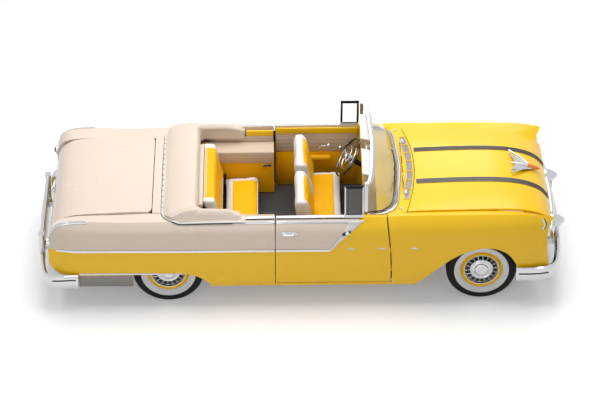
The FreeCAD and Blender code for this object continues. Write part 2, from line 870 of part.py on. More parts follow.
def screen_points(rise, offset):
    """Level curve of the glass at a share of its height above the body, moved out or in."""
    line = []
    for (fx, fy), (hx, hy) in zip(glass_foot_shares, glass_head_shares):
        foot = vec(fx * half_length, fy * half_width, body_height)
        head = vec(hx * half_length, hy * half_width, header_z)
        line.append(foot + (head - foot) * rise)
    line = line + [vec(p.x, -p.y, p.z) for p in reversed(line[:-1])]
    points = []
    last = len(line) - 1
    for index, point in enumerate(line):
        run = line[min(index + 1, last)] - line[max(index - 1, 0)]
        size = math.hypot(run.x, run.y)
        points.append(point + vec(-run.y / size * offset, run.x / size * offset, 0))
    return points


def screen_band(low, high, outside, inside):
    """Part of the windshield's height as a solid between two offsets."""
    wires = []
    for rise in (low, high):
        outer = traced(screen_points(rise, outside), plan_runs)
        inner = traced(screen_points(rise, inside), plan_runs)
        wires.append(polygon(outer + list(reversed(inner))))
    return loft(wires, True)


def pillar(low, high):
    """Corner post at the glass's rear edge."""
    wires = []
    for rise in (low, high):
        end = screen_points(rise, 0)[0]
        rear = end.x - pillar_width / 2
        front = end.x + pillar_width / 2
        inner = end.y - frame_bar
        outer = end.y + frame_bar * 0.2
        z = end.z
        corners = (vec(rear, inner, z), vec(front, inner, z), vec(front, outer, z), vec(rear, outer, z))
        wires.append(polygon(corners))
    return loft(wires, True)


def windshield_frame():
    """Foot that follows the cowl, header and corner posts in one frame."""
    rise = frame_rise / (header_z - body_height)
    foot = screen_band(-rise, 1 - rise, frame_bar / 3, -frame_bar / 2)
    foot = foot.common(cowl_top(frame_rise, frame_rise + seat_gap))
    head = screen_band(1, 1 + rise, frame_bar / 2, -frame_bar / 2)
    post = pillar(-rise, 1 + rise).cut(cowl_top(frame_rise * 2, seat_gap))
    return fused([foot, head, post, mirrored(post)])


def windshield_glass():
    pane = screen_band(0, 1 - pane_gap / header_z, glass / 2, -glass / 2)
    pane = pane.cut(cowl_top(frame_rise * 3, frame_rise + seat_gap + pane_gap))
    reach = pillar_width / 2 + pane_gap
    rear = screen_points(0, 0)[0].x + reach
    return pane.common(slab(rear, half_length, -half_width, half_width, 0, body_height * 2))


def vent_window(body):
    """Quarter light on the door's belt: a bright frame and its pane."""
    def ring(front, rear, low, high, out, into):
        wires = []
        for z in (low, high):
            share = (z - vent_foot_z) / (vent_top_z - vent_foot_z)
            y = vent_foot_y + (vent_top_y - vent_foot_y) * share
            corners = (vec(rear, y - into, z), vec(front, y - into, z), vec(front, y + out, z), vec(rear, y + out, z))
            wires.append(polygon(corners))
        return loft(wires, True)

    half = vent_bar / 2
    frame = ring(vent_front_x, vent_rear_x, vent_foot_z - vent_bar * 2, vent_top_z, half, half).cut(body)
    frame.translate(vec(0, 0, seat_gap))
    hole = (vent_front_x - vent_bar, vent_rear_x + vent_bar, vent_foot_z + vent_bar, vent_top_z - vent_top_bar)
    frame = frame.cut(ring(*hole, vent_bar, vent_bar))
    pane = ring(hole[0] - pane_gap, hole[1] + pane_gap, hole[2] + pane_gap, hole[3] - pane_gap, glass / 2, glass / 2)
    return frame, pane

# Wheels, tyres and axles

tyre_section_shares = ((0.38, 0.0), (0.48, 0.28), (0.50, 0.55), (0.44, 0.84), (0.30, 1.0))


def tyre(centre):
    """Cross-ply tyre: bowed walls, round shoulders and a nearly flat tread."""
    wall = [(y * tyre_width, bead_radius + (tyre_radius - bead_radius) * out) for y, out in tyre_section_shares]
    section = wall + [(-along, radius) for along, radius in reversed(wall)]
    half_step = math.pi / tyre_runs
    wires = []
    for index in range(tyre_runs):
        turn = half_step * (index * 2 + 1)
        ray = vec(math.sin(turn), 0, -math.cos(turn)) * (1 / math.cos(half_step))
        wires.append(polygon([centre + vec(0, along, 0) + ray * radius for along, radius in section]))
    return Part.makeLoft(wires, True, True, True)


cover_profile_shares = (
    (0.50, 1.00), (0.50, 0.955), (0.33, 0.92), (0.10, 0.62), (0.22, 0.53), (0.26, 0.33), (0.68, 0.24), (0.72, 0.0),
)
rim_back_shares = ((0.02, 0.0), (0.02, 0.62), (-0.50, 0.95), (-0.50, 1.00))


def wheel(centre, side):
    """Pressed wheel with its brake drum and a dished bright cover round the hub."""
    outward = vec(0, side, 0)
    radius = bead_radius - seat_gap
    front = [(y * rim_width, r * radius) for y, r in cover_profile_shares]
    back = [(y * rim_width, r * radius) for y, r in reversed(rim_back_shares)]
    body = turned(front + list(reversed(back)), centre, outward)
    return body


def drum(centre, side):
    """Brake drum behind the wheel's centre, with the bearing bore in it."""
    inward = vec(0, -side, 0)
    start = centre + vec(0, side * rim_back_shares[0][0] * rim_width, 0)
    shell = Part.makeCylinder(drum_radius, drum_width, start, inward)
    bore = Part.makeCylinder(bore_radius, drum_width + seat_gap, start, inward)
    return shell.cut(bore)


spoke_shares = (0.36, 0.88)


def wheel_assembly(centre, side):
    """Wheel, drum and the raised wires of its cover as one piece."""
    radius = bead_radius - seat_gap
    disc = wheel(centre, side).fuse(drum(centre, side))
    low = spoke_shares[0] * radius
    high = spoke_shares[1] * radius
    wires = []
    for index in range(spoke_count):
        turn = math.radians(360.0 * index / spoke_count)
        ray = vec(math.cos(turn), 0, math.sin(turn))
        start = centre + ray * low + vec(0, side * rim_width * 0.20, 0)
        end = centre + ray * high + vec(0, side * rim_width * 0.28, 0)
        across = vec(-math.sin(turn), 0, math.cos(turn)) * (spoke_wire / 2)
        depth = vec(0, side * spoke_wire * 1.5, 0)
        near = polygon([start - across - depth, start + across - depth, start + across, start - across])
        far = polygon([end - across - depth * 2, end + across - depth * 2, end + across, end - across])
        wires.append(loft([near, far], True))
    return disc.fuse(wires)


def knuckle():
    """Left steering knuckle: kingpin post, backing plate and spindle in one forging."""
    centre = vec(front_axle_x, kingpin_y, tyre_radius)
    up = vec(0, 0, 1)
    across = vec(0, 1, 0)
    post = Part.makeCylinder(kingpin_radius, kingpin_reach * 2, centre - up * kingpin_reach, up)
    start = vec(front_axle_x, kingpin_y, tyre_radius)
    spindle = Part.makeCylinder(bore_radius - spindle_gap, spindle_end_y - kingpin_y, start, across)
    boss = Part.makeCylinder(hub_radius, drum_inner_y - spindle_gap * 2 - kingpin_y, start, across)
    arm = slab(front_axle_x - steering_arm_reach, front_axle_x, kingpin_y - kingpin_radius, kingpin_y + kingpin_radius / 2,
               tyre_radius - arm_height * 2, tyre_radius - arm_height)
    return fused([post, spindle, boss, arm])


drum_inner_y = front_wheel_y + rim_back_shares[0][0] * rim_width - drum_width
spindle_end_y = front_wheel_y + rim_back_shares[0][0] * rim_width - spindle_gap * 3


arm_root_y = rail_y + rail_width + seat_gap


def suspension_arm(z, root_half):
    """A-shaped control arm from the frame out to the kingpin's end."""
    root = arm_root_y
    tip = kingpin_y
    corners = [
        vec(front_axle_x - root_half, root, z), vec(front_axle_x + root_half, root, z),
        vec(front_axle_x + arm_width / 2, tip - kingpin_radius, z),
        vec(front_axle_x + kingpin_radius, tip + kingpin_radius, z),
        vec(front_axle_x - kingpin_radius, tip + kingpin_radius, z),
        vec(front_axle_x - arm_width / 2, tip - kingpin_radius, z),
    ]
    arm = extruded(polygon(corners), vec(0, 0, arm_height))
    hole = [
        vec(front_axle_x - root_half * 0.55, root + arm_width * 0.6, z), vec(front_axle_x + root_half * 0.55, root + arm_width * 0.6, z),
        vec(front_axle_x, tip - arm_width * 1.4, z),
    ]
    return arm.cut(extruded(polygon(hole), vec(0, 0, arm_height)))


def front_suspension():
    """Crossmember with upper and lower arms and coil springs, fixed at ride height."""
    low_z = tyre_radius - kingpin_reach - arm_height - seat_gap
    high_z = tyre_radius + kingpin_reach + seat_gap
    beam = slab(front_axle_x - crossmember_width / 2, front_axle_x + crossmember_width / 2,
                -arm_root_y, arm_root_y, low_z, low_z + arm_height * 2)
    pieces = [beam]
    lower = suspension_arm(low_z, arm_spread)
    upper = suspension_arm(high_z, arm_spread * 0.75)
    tower = slab(front_axle_x - arm_spread, front_axle_x + arm_spread, arm_root_y, arm_root_y + arm_width / 2,
                 low_z, high_z + arm_height)
    spring_centre = vec(front_axle_x, arm_root_y + arm_width, low_z + arm_height / 2)
    coil = Part.makeCylinder(arm_width * 0.9, high_z - low_z, spring_centre, vec(0, 0, 1))
    for piece in (lower, upper, tower, coil):
        pieces.append(piece)
        pieces.append(mirrored(piece))
    return fused(pieces)


differential_shares = ((-0.95, 0.0), (-0.80, 0.55), (-0.30, 0.95), (0.20, 1.0), (0.85, 0.50), (0.95, 0.0))


def rear_axle():
    """Live axle with its differential and two leaf springs."""
    end = rear_wheel_y + rim_back_shares[0][0] * rim_width - spindle_gap * 3
    centre = vec(rear_axle_x, 0, tyre_radius)
    shaft = rod(vec(rear_axle_x, -end, tyre_radius), vec(rear_axle_x, end, tyre_radius), bore_radius - spindle_gap)
    casing_end = rear_wheel_y + rim_back_shares[0][0] * rim_width - drum_width - spindle_gap * 2
    casing = rod(vec(rear_axle_x, -casing_end, tyre_radius), vec(rear_axle_x, casing_end, tyre_radius), axle_radius)
    bowl = [(along * differential_radius, radius * differential_radius) for along, radius in differential_shares]
    ball = turned(bowl, centre, vec(1, 0, 0))
    nose = rod(centre, centre + vec(differential_length, 0, 0), differential_radius * 0.45)
    pieces = [shaft, casing, ball, nose]
    leaf = leaf_spring()
    pieces.append(leaf)
    pieces.append(mirrored(leaf))
    return fused(pieces)


def leaf_spring():
    """Bowed leaf pack from its front eye to its rear shackle, over the axle casing."""
    low = tyre_radius + axle_radius - spring_height
    ends = low + spring_height * 1.5
    front = vec(rear_axle_x + spring_reach, 0, ends)
    rear = vec(rear_axle_x - spring_reach, 0, ends)
    lower = Part.Arc(front, vec(rear_axle_x, 0, low), rear).toShape()
    rise = vec(0, 0, spring_height)
    upper = Part.Arc(front + rise, vec(rear_axle_x, 0, low + spring_height), rear + rise).toShape()
    edges = [lower, straight(rear, rear + rise), upper, straight(front + rise, front)]
    wire = Part.Wire(Part.__sortEdges__(edges))
    return side_prism(wire, spring_y - spring_width / 2, spring_y + spring_width / 2)


# Frame and floor

def rail_outline(grow):
    """Side view of a frame rail, raised at both axles."""
    drop = rail_height / 2 - grow
    middle = rail_low_z + rail_height / 2
    front = rail_front_z + rail_height / 2
    rear = rail_rear_z + rail_height / 2
    kick = rail_kick
    line = [
        (rail_front_x, front), (front_axle_x - kick, front), (front_axle_x - kick * 2, middle),
        (floor_rear_x - overrun, middle), (floor_rear_x - overrun - kick * 0.6, rear), (rail_rear_x, rear),
    ]
    top = [vec(x, 0, z + drop) for x, z in line]
    bottom = [vec(x, 0, z - drop) for x, z in reversed(line)]
    return polygon(top + bottom)


def chassis_frame():
    """Box-section rails with crossmembers and body pads."""
    rail = side_prism(rail_outline(0), rail_y, rail_y + rail_width)
    pieces = [rail, mirrored(rail)]
    for share in cross_places_shares:
        x = share * half_length
        pieces.append(slab(x - cross_width / 2, x + cross_width / 2, -rail_y - frame_wall, rail_y + frame_wall,
                           rail_low_z, rail_low_z + rail_height * 0.6))
    for x, low in ((rail_front_x - cross_width, rail_front_z), (rail_rear_x, rail_rear_z)):
        pieces.append(slab(x, x + cross_width, -rail_y - frame_wall, rail_y + frame_wall, low, low + rail_height))
    pad_top = floor_z - floor_sheet - seat_gap
    for share in cross_places_shares:
        for side in (1, -1):
            base = vec(share * half_length, side * (rail_y + rail_width / 2), rail_low_z + rail_height - frame_wall)
            pieces.append(Part.makeCylinder(pad_radius, pad_top - base.z, base))
            outer = vec(share * half_length, side * (rail_y + rail_width / 2), rail_low_z)
            pieces.append(slab(outer.x - cross_width / 2, outer.x + cross_width / 2,
                               min(outer.y, side * outrigger_y), max(outer.y, side * outrigger_y),
                               rail_low_z, side_bottom_z))
    hanger_low = tyre_radius + axle_radius + spring_height * 1.5 + seat_gap
    hanger_top = rail_rear_z + rail_height / 2
    for x, low in ((rear_axle_x + spring_reach - pad_radius, rail_low_z), (rear_axle_x - spring_reach + pad_radius, rail_rear_z)):
        plate = slab(x - pad_radius, x + pad_radius, rail_y + rail_width / 2, spring_y - spring_width / 2 - seat_gap, low, hanger_top)
        cap = slab(x - pad_radius, x + pad_radius, rail_y + rail_width / 2, spring_y + spring_width / 2, hanger_low, hanger_top)
        for piece in (plate, cap):
            pieces.append(piece)
            pieces.append(mirrored(piece))
    for side in (1, -1):
        low = side * (rail_y + rail_width / 2) - pad_radius
        pieces.append(slab(rear_pad_x - pad_radius, rear_pad_x + pad_radius, low, low + pad_radius * 2,
                           rail_rear_z + rail_height - frame_wall, trunk_floor_z - floor_sheet - seat_gap))
    return fused(pieces)


floor_section_shares = ((1.0, 0.0), (0.90, 0.0), (0.87, 1.0))


def floor_pan():
    """Pressed floor with its tunnel, seat riser, toe board and trunk floor."""
    drop = vec(0, 0, -floor_sheet)
    rise = floor_z - sill_z - floor_sheet
    half = [(cowl_side_y * y, sill_z + floor_sheet + rise * z) for y, z in floor_section_shares]
    half += [(tunnel_half, floor_z), (tunnel_half * 0.7, floor_z + tunnel_rise)]
    line = half + [(-y, z) for y, z in reversed(half)]
    top = [vec(floor_rear_x, y, z) for y, z in line]
    bottom = [point + drop for point in reversed(top)]
    front_run = vec(firewall_x - firewall_sheet - seat_gap - floor_rear_x, 0, 0)
    pan = extruded(polygon(top + bottom), front_run)
    pan = trimmed(pan, seat_gap)
    pan = pan.cut(slab(fender_rear_x - overrun, half_length, firewall_half - cowl_sheet * 2, width, 0, body_height))
    pan = pan.cut(mirrored(slab(fender_rear_x - overrun, half_length, firewall_half - cowl_sheet * 2, width, 0, body_height)))
    riser = slab(floor_rear_x - floor_sheet, floor_rear_x, -rear_seat_half, rear_seat_half, floor_z - floor_sheet, trunk_floor_z)
    trunk = slab(tail_x, boot_inner_x, -trunk_half, trunk_half, trunk_floor_z - floor_sheet, trunk_floor_z)
    shelf = slab(boot_inner_x, floor_rear_x, -rear_seat_half, rear_seat_half, trunk_floor_z - floor_sheet, trunk_floor_z)
    wall = slab(tail_x + tail_sheet, boot_inner_x, trunk_half - floor_sheet, trunk_half, trunk_floor_z - floor_sheet, trunk_wall_z)
    toe = [
        vec(toe_x, 0, floor_z - floor_sheet), vec(firewall_x - firewall_sheet - seat_gap, 0, toe_z),
        vec(firewall_x - firewall_sheet - seat_gap, 0, floor_z - floor_sheet),
    ]
    toe_half = firewall_half - cowl_sheet * 2
    toe_board = side_prism(polygon(toe), -toe_half, toe_half)
    return fused([pan, riser, trunk, shelf, wall, mirrored(wall), toe_board])


# Engine, tank and exhaust

def engine_block():
    """Engine and gearbox as one plain mass on two feet."""
    block = slab(engine_rear_x, engine_front_x, -engine_half, engine_half, engine_bottom_z, engine_top_z)
    upright = [edge for edge in block.Edges if edge.BoundBox.XLength > engine_foot]
    block = block.makeFillet(engine_foot, upright)
    gearbox = rod(vec(engine_rear_x + engine_foot, 0, engine_bottom_z + engine_foot * 2),
                  vec(firewall_x + engine_foot, 0, engine_bottom_z + engine_foot * 2), engine_foot * 1.8)
    foot_top = engine_bottom_z + engine_foot
    foot = slab(engine_foot_x - engine_foot / 2, engine_foot_x + engine_foot / 2, engine_half - engine_foot,
                rail_y + rail_width / 2, rail_front_z + rail_height + seat_gap, foot_top)
    return fused([block, gearbox, foot, mirrored(foot)])


def fuel_tank():
    top = trunk_floor_z - floor_sheet - seat_gap
    tank = slab(tank_rear_x, tank_front_x, -tank_half, tank_half, top - tank_height, top)
    return tank.makeFillet(tank_edge, [edge for edge in tank.Edges if edge.BoundBox.YLength > tank_edge])


def exhaust():
    """Two pipes with silencers, hung below the frame's crossmembers."""
    pieces = []
    hanger_top = rail_low_z - seat_gap
    for side in (1, -1):
        start = vec(pipe_front_x, side * pipe_y, pipe_z)
        end = vec(pipe_rear_x, side * pipe_y, pipe_z)
        pipe = rod(start, end, pipe_radius)
        body = rod(vec(muffler_x, side * pipe_y, pipe_z - pipe_radius), vec(muffler_x + muffler_length, side * pipe_y, pipe_z - pipe_radius), muffler_radius * 0.8)
        shapes = [pipe, body]
        for share in cross_places_shares:
            x = share * half_length
            shapes.append(slab(x - pipe_radius, x + pipe_radius, side * pipe_y - frame_wall, side * pipe_y + frame_wall,
                               pipe_z, hanger_top))
        pieces.append(fused(shapes))
    return pieces


# Seats, boot cover and interior

def padded(shape, edge):
    """Take off the corners of a cushion."""
    return shape.makeChamfer(edge, shape.Edges)


def front_seat():
    cushion = slab(seat_rear_x, seat_front_x, -seat_half, seat_half, floor_z + tunnel_rise + seat_gap * 2, seat_top_z)
    cushion = padded(cushion, seat_edge)
    foot = slab(seat_rear_x + seat_edge * 2, seat_front_x - seat_edge * 2, seat_half - seat_edge * 3, seat_half - seat_edge * 2,
                floor_z + seat_gap, seat_top_z - seat_edge * 2)
    inner = slab(seat_rear_x + seat_edge * 2, seat_front_x - seat_edge * 2, tunnel_half + seat_edge, tunnel_half + seat_edge * 2,
                 floor_z + seat_gap, seat_top_z - seat_edge * 2)
    return fused([cushion, foot, mirrored(foot), inner, mirrored(inner)])


def front_seat_backs():
    """Two folding seat backs of the split bench."""
    bottom = seat_top_z + seat_gap
    base = seat_rear_x - seat_gap
    outline = [
        vec(base, 0, bottom), vec(base + back_thickness, 0, bottom),
        vec(base + back_thickness - back_lean, 0, back_top_z), vec(base - back_lean + seat_edge, 0, back_top_z),
    ]
    back = side_prism(polygon(outline), back_split / 2, seat_half)
    back = padded(back, seat_edge * 0.8)
    return back, mirrored(back)


def rear_seat():
    """Rear bench: cushion and back in one upholstered unit."""
    low = floor_z + tunnel_rise + seat_gap * 2
    outline = [
        vec(rear_cushion_front_x, 0, low), vec(rear_cushion_front_x, 0, seat_top_z), vec(rear_cushion_rear_x, 0, seat_top_z - seat_edge / 2),
        vec(rear_back_x + back_thickness * 0.8, 0, rear_back_top_z), vec(rear_back_x, 0, rear_back_top_z),
        vec(floor_rear_x + seat_gap, 0, trunk_floor_z + shelf_clearance), vec(floor_rear_x + seat_gap, 0, low),
    ]
    bench = side_prism(polygon(outline), -rear_seat_half, rear_seat_half)
    plinth_half = rear_seat_half - seat_edge
    plinth = slab(rear_cushion_rear_x, rear_cushion_front_x - seat_edge, tunnel_half + seat_edge, plinth_half, floor_z + seat_gap, low + seat_edge)
    return fused([bench, plinth, mirrored(plinth)])


def quarter_trim():
    """Padded side beside the rear seat, cut away over the wheel."""
    trim = slab(rear_back_x, quarter_front_x, rear_seat_half + seat_gap, trim_outer_y,
                sill_z + floor_sheet * 6, rear_trim_top_z - trim_drop)
    house = vec(rear_axle_x, 0, tyre_radius)
    trim = trim.cut(rod(house, house + vec(0, half_width, 0), tyre_radius + overrun))
    return trim.cut(slab(rear_back_x - overrun, floor_rear_x + overrun, 0, width, 0, trunk_floor_z + seat_gap))


def boot_cover(body):
    """Padded cover over the folded roof: a U round the rear seat, seated on the quarters and deck."""
    rear = slab(boot_rear_x, boot_inner_x, -boot_half, boot_half, boot_bottom_z, boot_top_z)
    arm = slab(boot_inner_x - overrun, boot_front_x, boot_inner_half, boot_half, boot_bottom_z, boot_top_z)
    cover = fused([rear, arm, mirrored(arm)])
    ends = [edge for edge in cover.Edges
            if edge.BoundBox.ZMin > boot_top_z - seat_gap or edge.BoundBox.ZLength > boot_edge]
    cover = cover.makeChamfer(boot_edge * 0.6, ends)
    for side in (body, mirrored(body)):
        cover = cover.cut(side)
    cover = cover.cut(slab(boot_rear_x - overrun, deck_front_x, -boot_half, boot_half, 0, deck_top_z))
    cover.translate(vec(0, 0, seat_gap))
    return cover


def dashboard():
    """Padded instrument panel below the windshield."""
    dash_half = cowl_side_y - cowl_sheet - seat_gap
    top = body_height * cowl_stations_shares[0][1] - cowl_sheet - seat_gap
    outline = [
        vec(dash_front_x, 0, top), vec(dash_rear_x + dash_edge, 0, top), vec(dash_rear_x, 0, top - dash_edge),
        vec(dash_rear_x + dash_edge, 0, dash_bottom_z), vec(dash_front_x, 0, dash_bottom_z),
    ]
    panel = side_prism(polygon(outline), -dash_half, dash_half)
    start = vec(wheel_centre_x, wheel_centre_y, wheel_centre_z)
    return panel.cut(rod(start, start + column_axis() * half_width, column_radius + seat_gap))


def column_axis():
    """Unit vector from the steering wheel down the column."""
    rake = math.radians(wheel_rake)
    return vec(math.cos(rake), 0, -math.sin(rake))


def round_ring(centre, axis, radius, tube):
    """A ring with a nearly round section."""
    side = vec(0, 1, 0)
    points = []
    for index in range(ring_runs):
        turn = math.radians(360.0 * index / ring_runs)
        points.append(centre + side * (radius + tube * math.cos(turn)) + axis * (tube * math.sin(turn)))
    return Part.Face(polygon(points)).revolve(centre, axis, 360)


def steering_wheel():
    """Two-spoke wheel with its hub and horn ring."""
    centre = vec(wheel_centre_x, wheel_centre_y, wheel_centre_z)
    axis = column_axis()
    ring = round_ring(centre, axis, wheel_ring_radius, wheel_ring_tube)
    horn = round_ring(centre + axis * wheel_ring_tube, axis, wheel_ring_radius * 0.62, wheel_ring_tube * 0.45)
    hub = Part.makeCylinder(wheel_hub_radius, wheel_hub_depth, centre - axis * (wheel_hub_depth * 0.3), axis)
    spokes = slab(-spoke_sheet / 2, spoke_sheet / 2, -wheel_ring_radius, wheel_ring_radius, -spoke_width / 2, spoke_width / 2)
    spokes.rotate(vec(0, 0, 0), vec(0, 1, 0), wheel_rake)
    spokes.translate(centre + axis * wheel_ring_tube)
    return fused([ring, horn, hub, spokes])


def steering_column():
    """Jacket from the steering wheel down to the firewall, hung from the dash."""
    axis = column_axis()
    start = vec(wheel_centre_x, wheel_centre_y, wheel_centre_z) + axis * (wheel_hub_depth * 0.7 + column_gap)
    run = (firewall_x - firewall_sheet - column_gap - start.x) / axis.x
    run = run - column_radius * math.tan(math.radians(wheel_rake))
    return Part.makeCylinder(column_radius, run, start, axis)


# Bumpers and ornament

front_bumper_shares = (
    (0.802, 1.007, 0.45), (0.870, 1.003, 0.60), (0.928, 0.962, 0.90), (0.958, 0.850, 1.0), (0.974, 0.520, 1.0), (0.979, 0.0, 1.0),
)
rear_bumper_shares = (
    (-0.840, 1.014, 0.45), (-0.900, 1.014, 0.60), (-0.952, 0.990, 0.90), (-0.974, 0.840, 1.0), (-0.987, 0.480, 1.0),
    (-0.9901, 0.0, 1.0),
)
bumper_section_shares = ((-1.0, -0.80), (-0.20, -0.96), (0.55, -0.84), (0.90, -0.45), (1.0, 0.0), (0.90, 0.45), (0.55, 0.84), (-0.20, 0.96), (-1.0, 0.80))


def bumper_bar(shares, z, height, depth):
    """Wraparound bar: domed sections set along a smooth plan line, thinner at the ends."""
    half = [(x * half_length, y * half_width, thick) for x, y, thick in shares]
    line = half + [(x, -y, thick) for x, y, thick in reversed(half[:-1])]
    plan = traced([vec(x, y, thick * depth) for x, y, thick in line], plan_runs + len(line))
    last = len(plan) - 1
    front = math.copysign(1.0, line[0][0])
    wires = []
    for index, place in enumerate(plan):
        before = plan[max(index - 1, 0)]
        after = plan[min(index + 1, last)]
        run = vec(after.x - before.x, after.y - before.y, 0)
        run.normalize()
        out = vec(-run.y, run.x, 0) * front
        points = []
        for across, up in bumper_section_shares:
            points.append(vec(place.x, place.y, z) + out * (across * place.z / 2) + vec(0, 0, up * height / 2))
        wires.append(polygon(points))
    return loft(wires, True)


def front_bumper():
    """Lower wraparound bar, upper bar with two bullet guards, and the brackets to the frame."""
    lower = bumper_bar(front_bumper_shares, bumper_z, bumper_height, bumper_depth)
    upper_line = [(upper_bar_x / half_length + bow, y, 1.0) for y, bow in upper_bow_shares]
    upper = bumper_bar(upper_line, upper_bar_z, upper_bar_height, upper_bar_depth)
    pieces = [lower, upper]
    tip = half_length - bullet_base_x
    profile = [(along * tip, radius * bullet_radius) for along, radius in bullet_shares]
    for side in (1, -1):
        base = vec(bullet_base_x, side * bullet_y, bullet_z)
        pieces.append(turned(profile, base, vec(1, 0, 0)))
        post = slab(post_x, post_x + guard_depth, side * bullet_y - guard_width / 2, side * bullet_y + guard_width / 2,
                    bumper_z, bullet_z)
        pieces.append(post)
        rail = side * (rail_y + rail_width / 2)
        pieces.append(slab(rail_front_x + seat_gap, post_x + bracket_width, rail - bracket_width / 2, rail + bracket_width / 2,
                           bumper_z - bracket_height / 2, bumper_z + bracket_height / 2))
    return fused(pieces)


upper_bow_shares = ((0.66, -0.012), (0.50, 0.0), (0.25, 0.006), (0.0, 0.008))
bullet_shares = ((0.0, 0.0), (0.0, 0.86), (0.35, 1.0), (0.72, 0.74), (0.95, 0.30), (1.0, 0.0))


def plate_bracket():
    """Blank plate carrier between the bumper bars, with its two bolt holes."""
    low = rear_bumper_z + rear_bumper_height * 0.38
    high = rear_bar_z - rear_bar_height * 0.3
    plate = slab(plate_x, plate_x + plate_sheet, -plate_half, plate_half, low, high)
    lug = slab(plate_x, rear_bar_x, -plate_half * 0.6, -plate_half * 0.4, rear_bar_z - rear_bar_height / 2, high)
    foot = slab(plate_x, rear_bar_x, -plate_half * 0.6, -plate_half * 0.4, low, rear_bumper_z + rear_bumper_height / 2)
    carrier = fused([plate, lug, mirrored(lug), foot, mirrored(foot)])
    for side in (1, -1):
        start = vec(plate_x - overrun, side * plate_bolt_spacing / 2, plate_bolt_z)
        carrier = carrier.cut(rod(start, start + vec(overrun * 2, 0, 0), plate_bolt_radius))
    return carrier


def rear_bumper():
    """Lower wraparound bar with its centre bar and two guards, on brackets to the frame."""
    lower = bumper_bar(rear_bumper_shares, rear_bumper_z, rear_bumper_height, bumper_depth * 0.8)
    bar = slab(rear_bar_x - rear_bar_depth / 2, rear_bar_x + rear_bar_depth / 2, -guard_y, guard_y,
               rear_bar_z - rear_bar_height / 2, rear_bar_z + rear_bar_height / 2)
    bar = bar.makeFillet(rear_bar_depth * 0.35, [edge for edge in bar.Edges if edge.BoundBox.YLength > guard_y])
    pieces = [lower, bar, plate_bracket()]
    for side in (1, -1):
        guard = slab(rear_bar_x - guard_depth * 0.5, rear_bar_x + guard_depth * 0.45, side * guard_y - guard_width / 2,
                     side * guard_y + guard_width / 2, rear_bumper_z, rear_bar_z + rear_bar_height * 0.7)
        pieces.append(guard.makeFillet(guard_depth * 0.3, [edge for edge in guard.Edges if edge.BoundBox.ZLength > guard_depth]))
        rail = side * (rail_y + rail_width / 2)
        pieces.append(slab(rear_bar_x, rail_rear_x - seat_gap, rail - bracket_width / 2, rail + bracket_width / 2,
                           rear_bumper_z, rear_bumper_z + bracket_height))
        pieces.append(slab(rail_rear_x - bracket_width, rail_rear_x - seat_gap, rail - bracket_width / 2, rail + bracket_width / 2,
                           rear_bumper_z, rail_rear_z + rail_height / 2))
    return fused(pieces)


def hood_ornament():
    """Swept wings round a long centre body, seated on the hood's nose."""
    nose = vec(ornament_front_x, 0, ornament_front_z)
    tail = vec(ornament_front_x - ornament_length, 0, ornament_rear_z)
    axis = tail.sub(nose)
    axis.normalize()
    profile = [(along * ornament_length, radius * ornament_height / 2) for along, radius in ornament_shares]
    body = turned(profile, nose, axis)
    wing = [nose + axis * (ornament_length * along) + vec(0, ornament_span * across, ornament_height * up)
            for along, across, up in wing_shares]
    blade = Part.Face(polygon(wing)).extrude(vec(0, 0, ornament_height * 0.16))
    shape = fused([body, blade, mirrored(blade)])
    return shape.cut(crowned_sheet(hood_centre_shares, hood_edge_shares, half_width * 0.86, hood_sheet * 4).translated(vec(0, 0, seat_gap)))


wing_shares = ((0.18, 0.0, 0.0), (1.0, 1.0, 0.0), (0.80, 0.0, 0.0))
ornament_shares = ((0.0, 0.0), (0.10, 0.60), (0.35, 1.0), (0.75, 0.6), (1.0, 0.12), (1.0, 0.0))


def build_running_gear():
    places = (
        ("front_left", front_axle_x, front_wheel_y, 1), ("front_right", front_axle_x, front_wheel_y, -1),
        ("rear_left", rear_axle_x, rear_wheel_y, 1), ("rear_right", rear_axle_x, rear_wheel_y, -1),
    )
    for name, x, y, side in places:
        centre = vec(x, side * y, tyre_radius)
        save("tyre_" + name, tyre(centre))
        save("wheel_" + name, wheel_assembly(centre, side))
    save("knuckle_left", knuckle())
    save("knuckle_right", mirrored(knuckle()))
    save("front_suspension", front_suspension())
    save("rear_axle", rear_axle())
    save("chassis_frame", chassis_frame())
    save("floor_pan", floor_pan())
    save("engine_block", engine_block())
    save("fuel_tank", fuel_tank())
    save("exhaust", *exhaust())
    save("front_bumper", front_bumper())
    save("rear_bumper", rear_bumper())


def build_interior():
    save("front_seat", front_seat())
    save("front_seat_backs", *front_seat_backs())
    save("rear_seat", rear_seat())
    trim = quarter_trim()
    save("quarter_trims", trim, mirrored(trim))
    save("boot_cover", boot_cover(side_body()))
    save("dashboard", dashboard())
    save("steering_wheel", steering_wheel())
    save("steering_column", steering_column())
    save("hood_ornament", hood_ornament())


def build_body():
    body = side_body()
    for name, make in (("fender", fender), ("quarter", quarter), ("door", door)):
        piece = make(body)
        save(name + "_left", piece)
        save(name + "_right", mirrored(piece))
    sill = rocker(body)
    save("rockers", sill, mirrored(sill))
    guard = stone_guard(body)
    save("stone_guards", guard, mirrored(guard))
    save("hood", hood())
    save("trunk_lid", trunk_lid())
    save("cowl", cowl())
    save("deck_panel", deck())
    save("tail_panel", tail_panel())
    save("nose_panel", nose_panel())
    save("grille", grille())
    lamp = head_lamp()
    save("head_lamps", lamp, mirrored(lamp))
    tail = tail_lamp()
    save("tail_lamps", tail, mirrored(tail))
    save("windshield_frame", windshield_frame())
    save("windshield_glass", windshield_glass())
    frame, pane = vent_window(body)
    save("vent_window_left", frame, pane)
    save("vent_window_right", mirrored(frame), mirrored(pane))


build_body()
build_running_gear()
build_interior()
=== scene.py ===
"""Looks of a two-tone convertible car of the middle 1950s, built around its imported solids."""
import json
import math

import bpy
from mathutils import Matrix, Vector
from mathutils.bvhtree import BVHTree


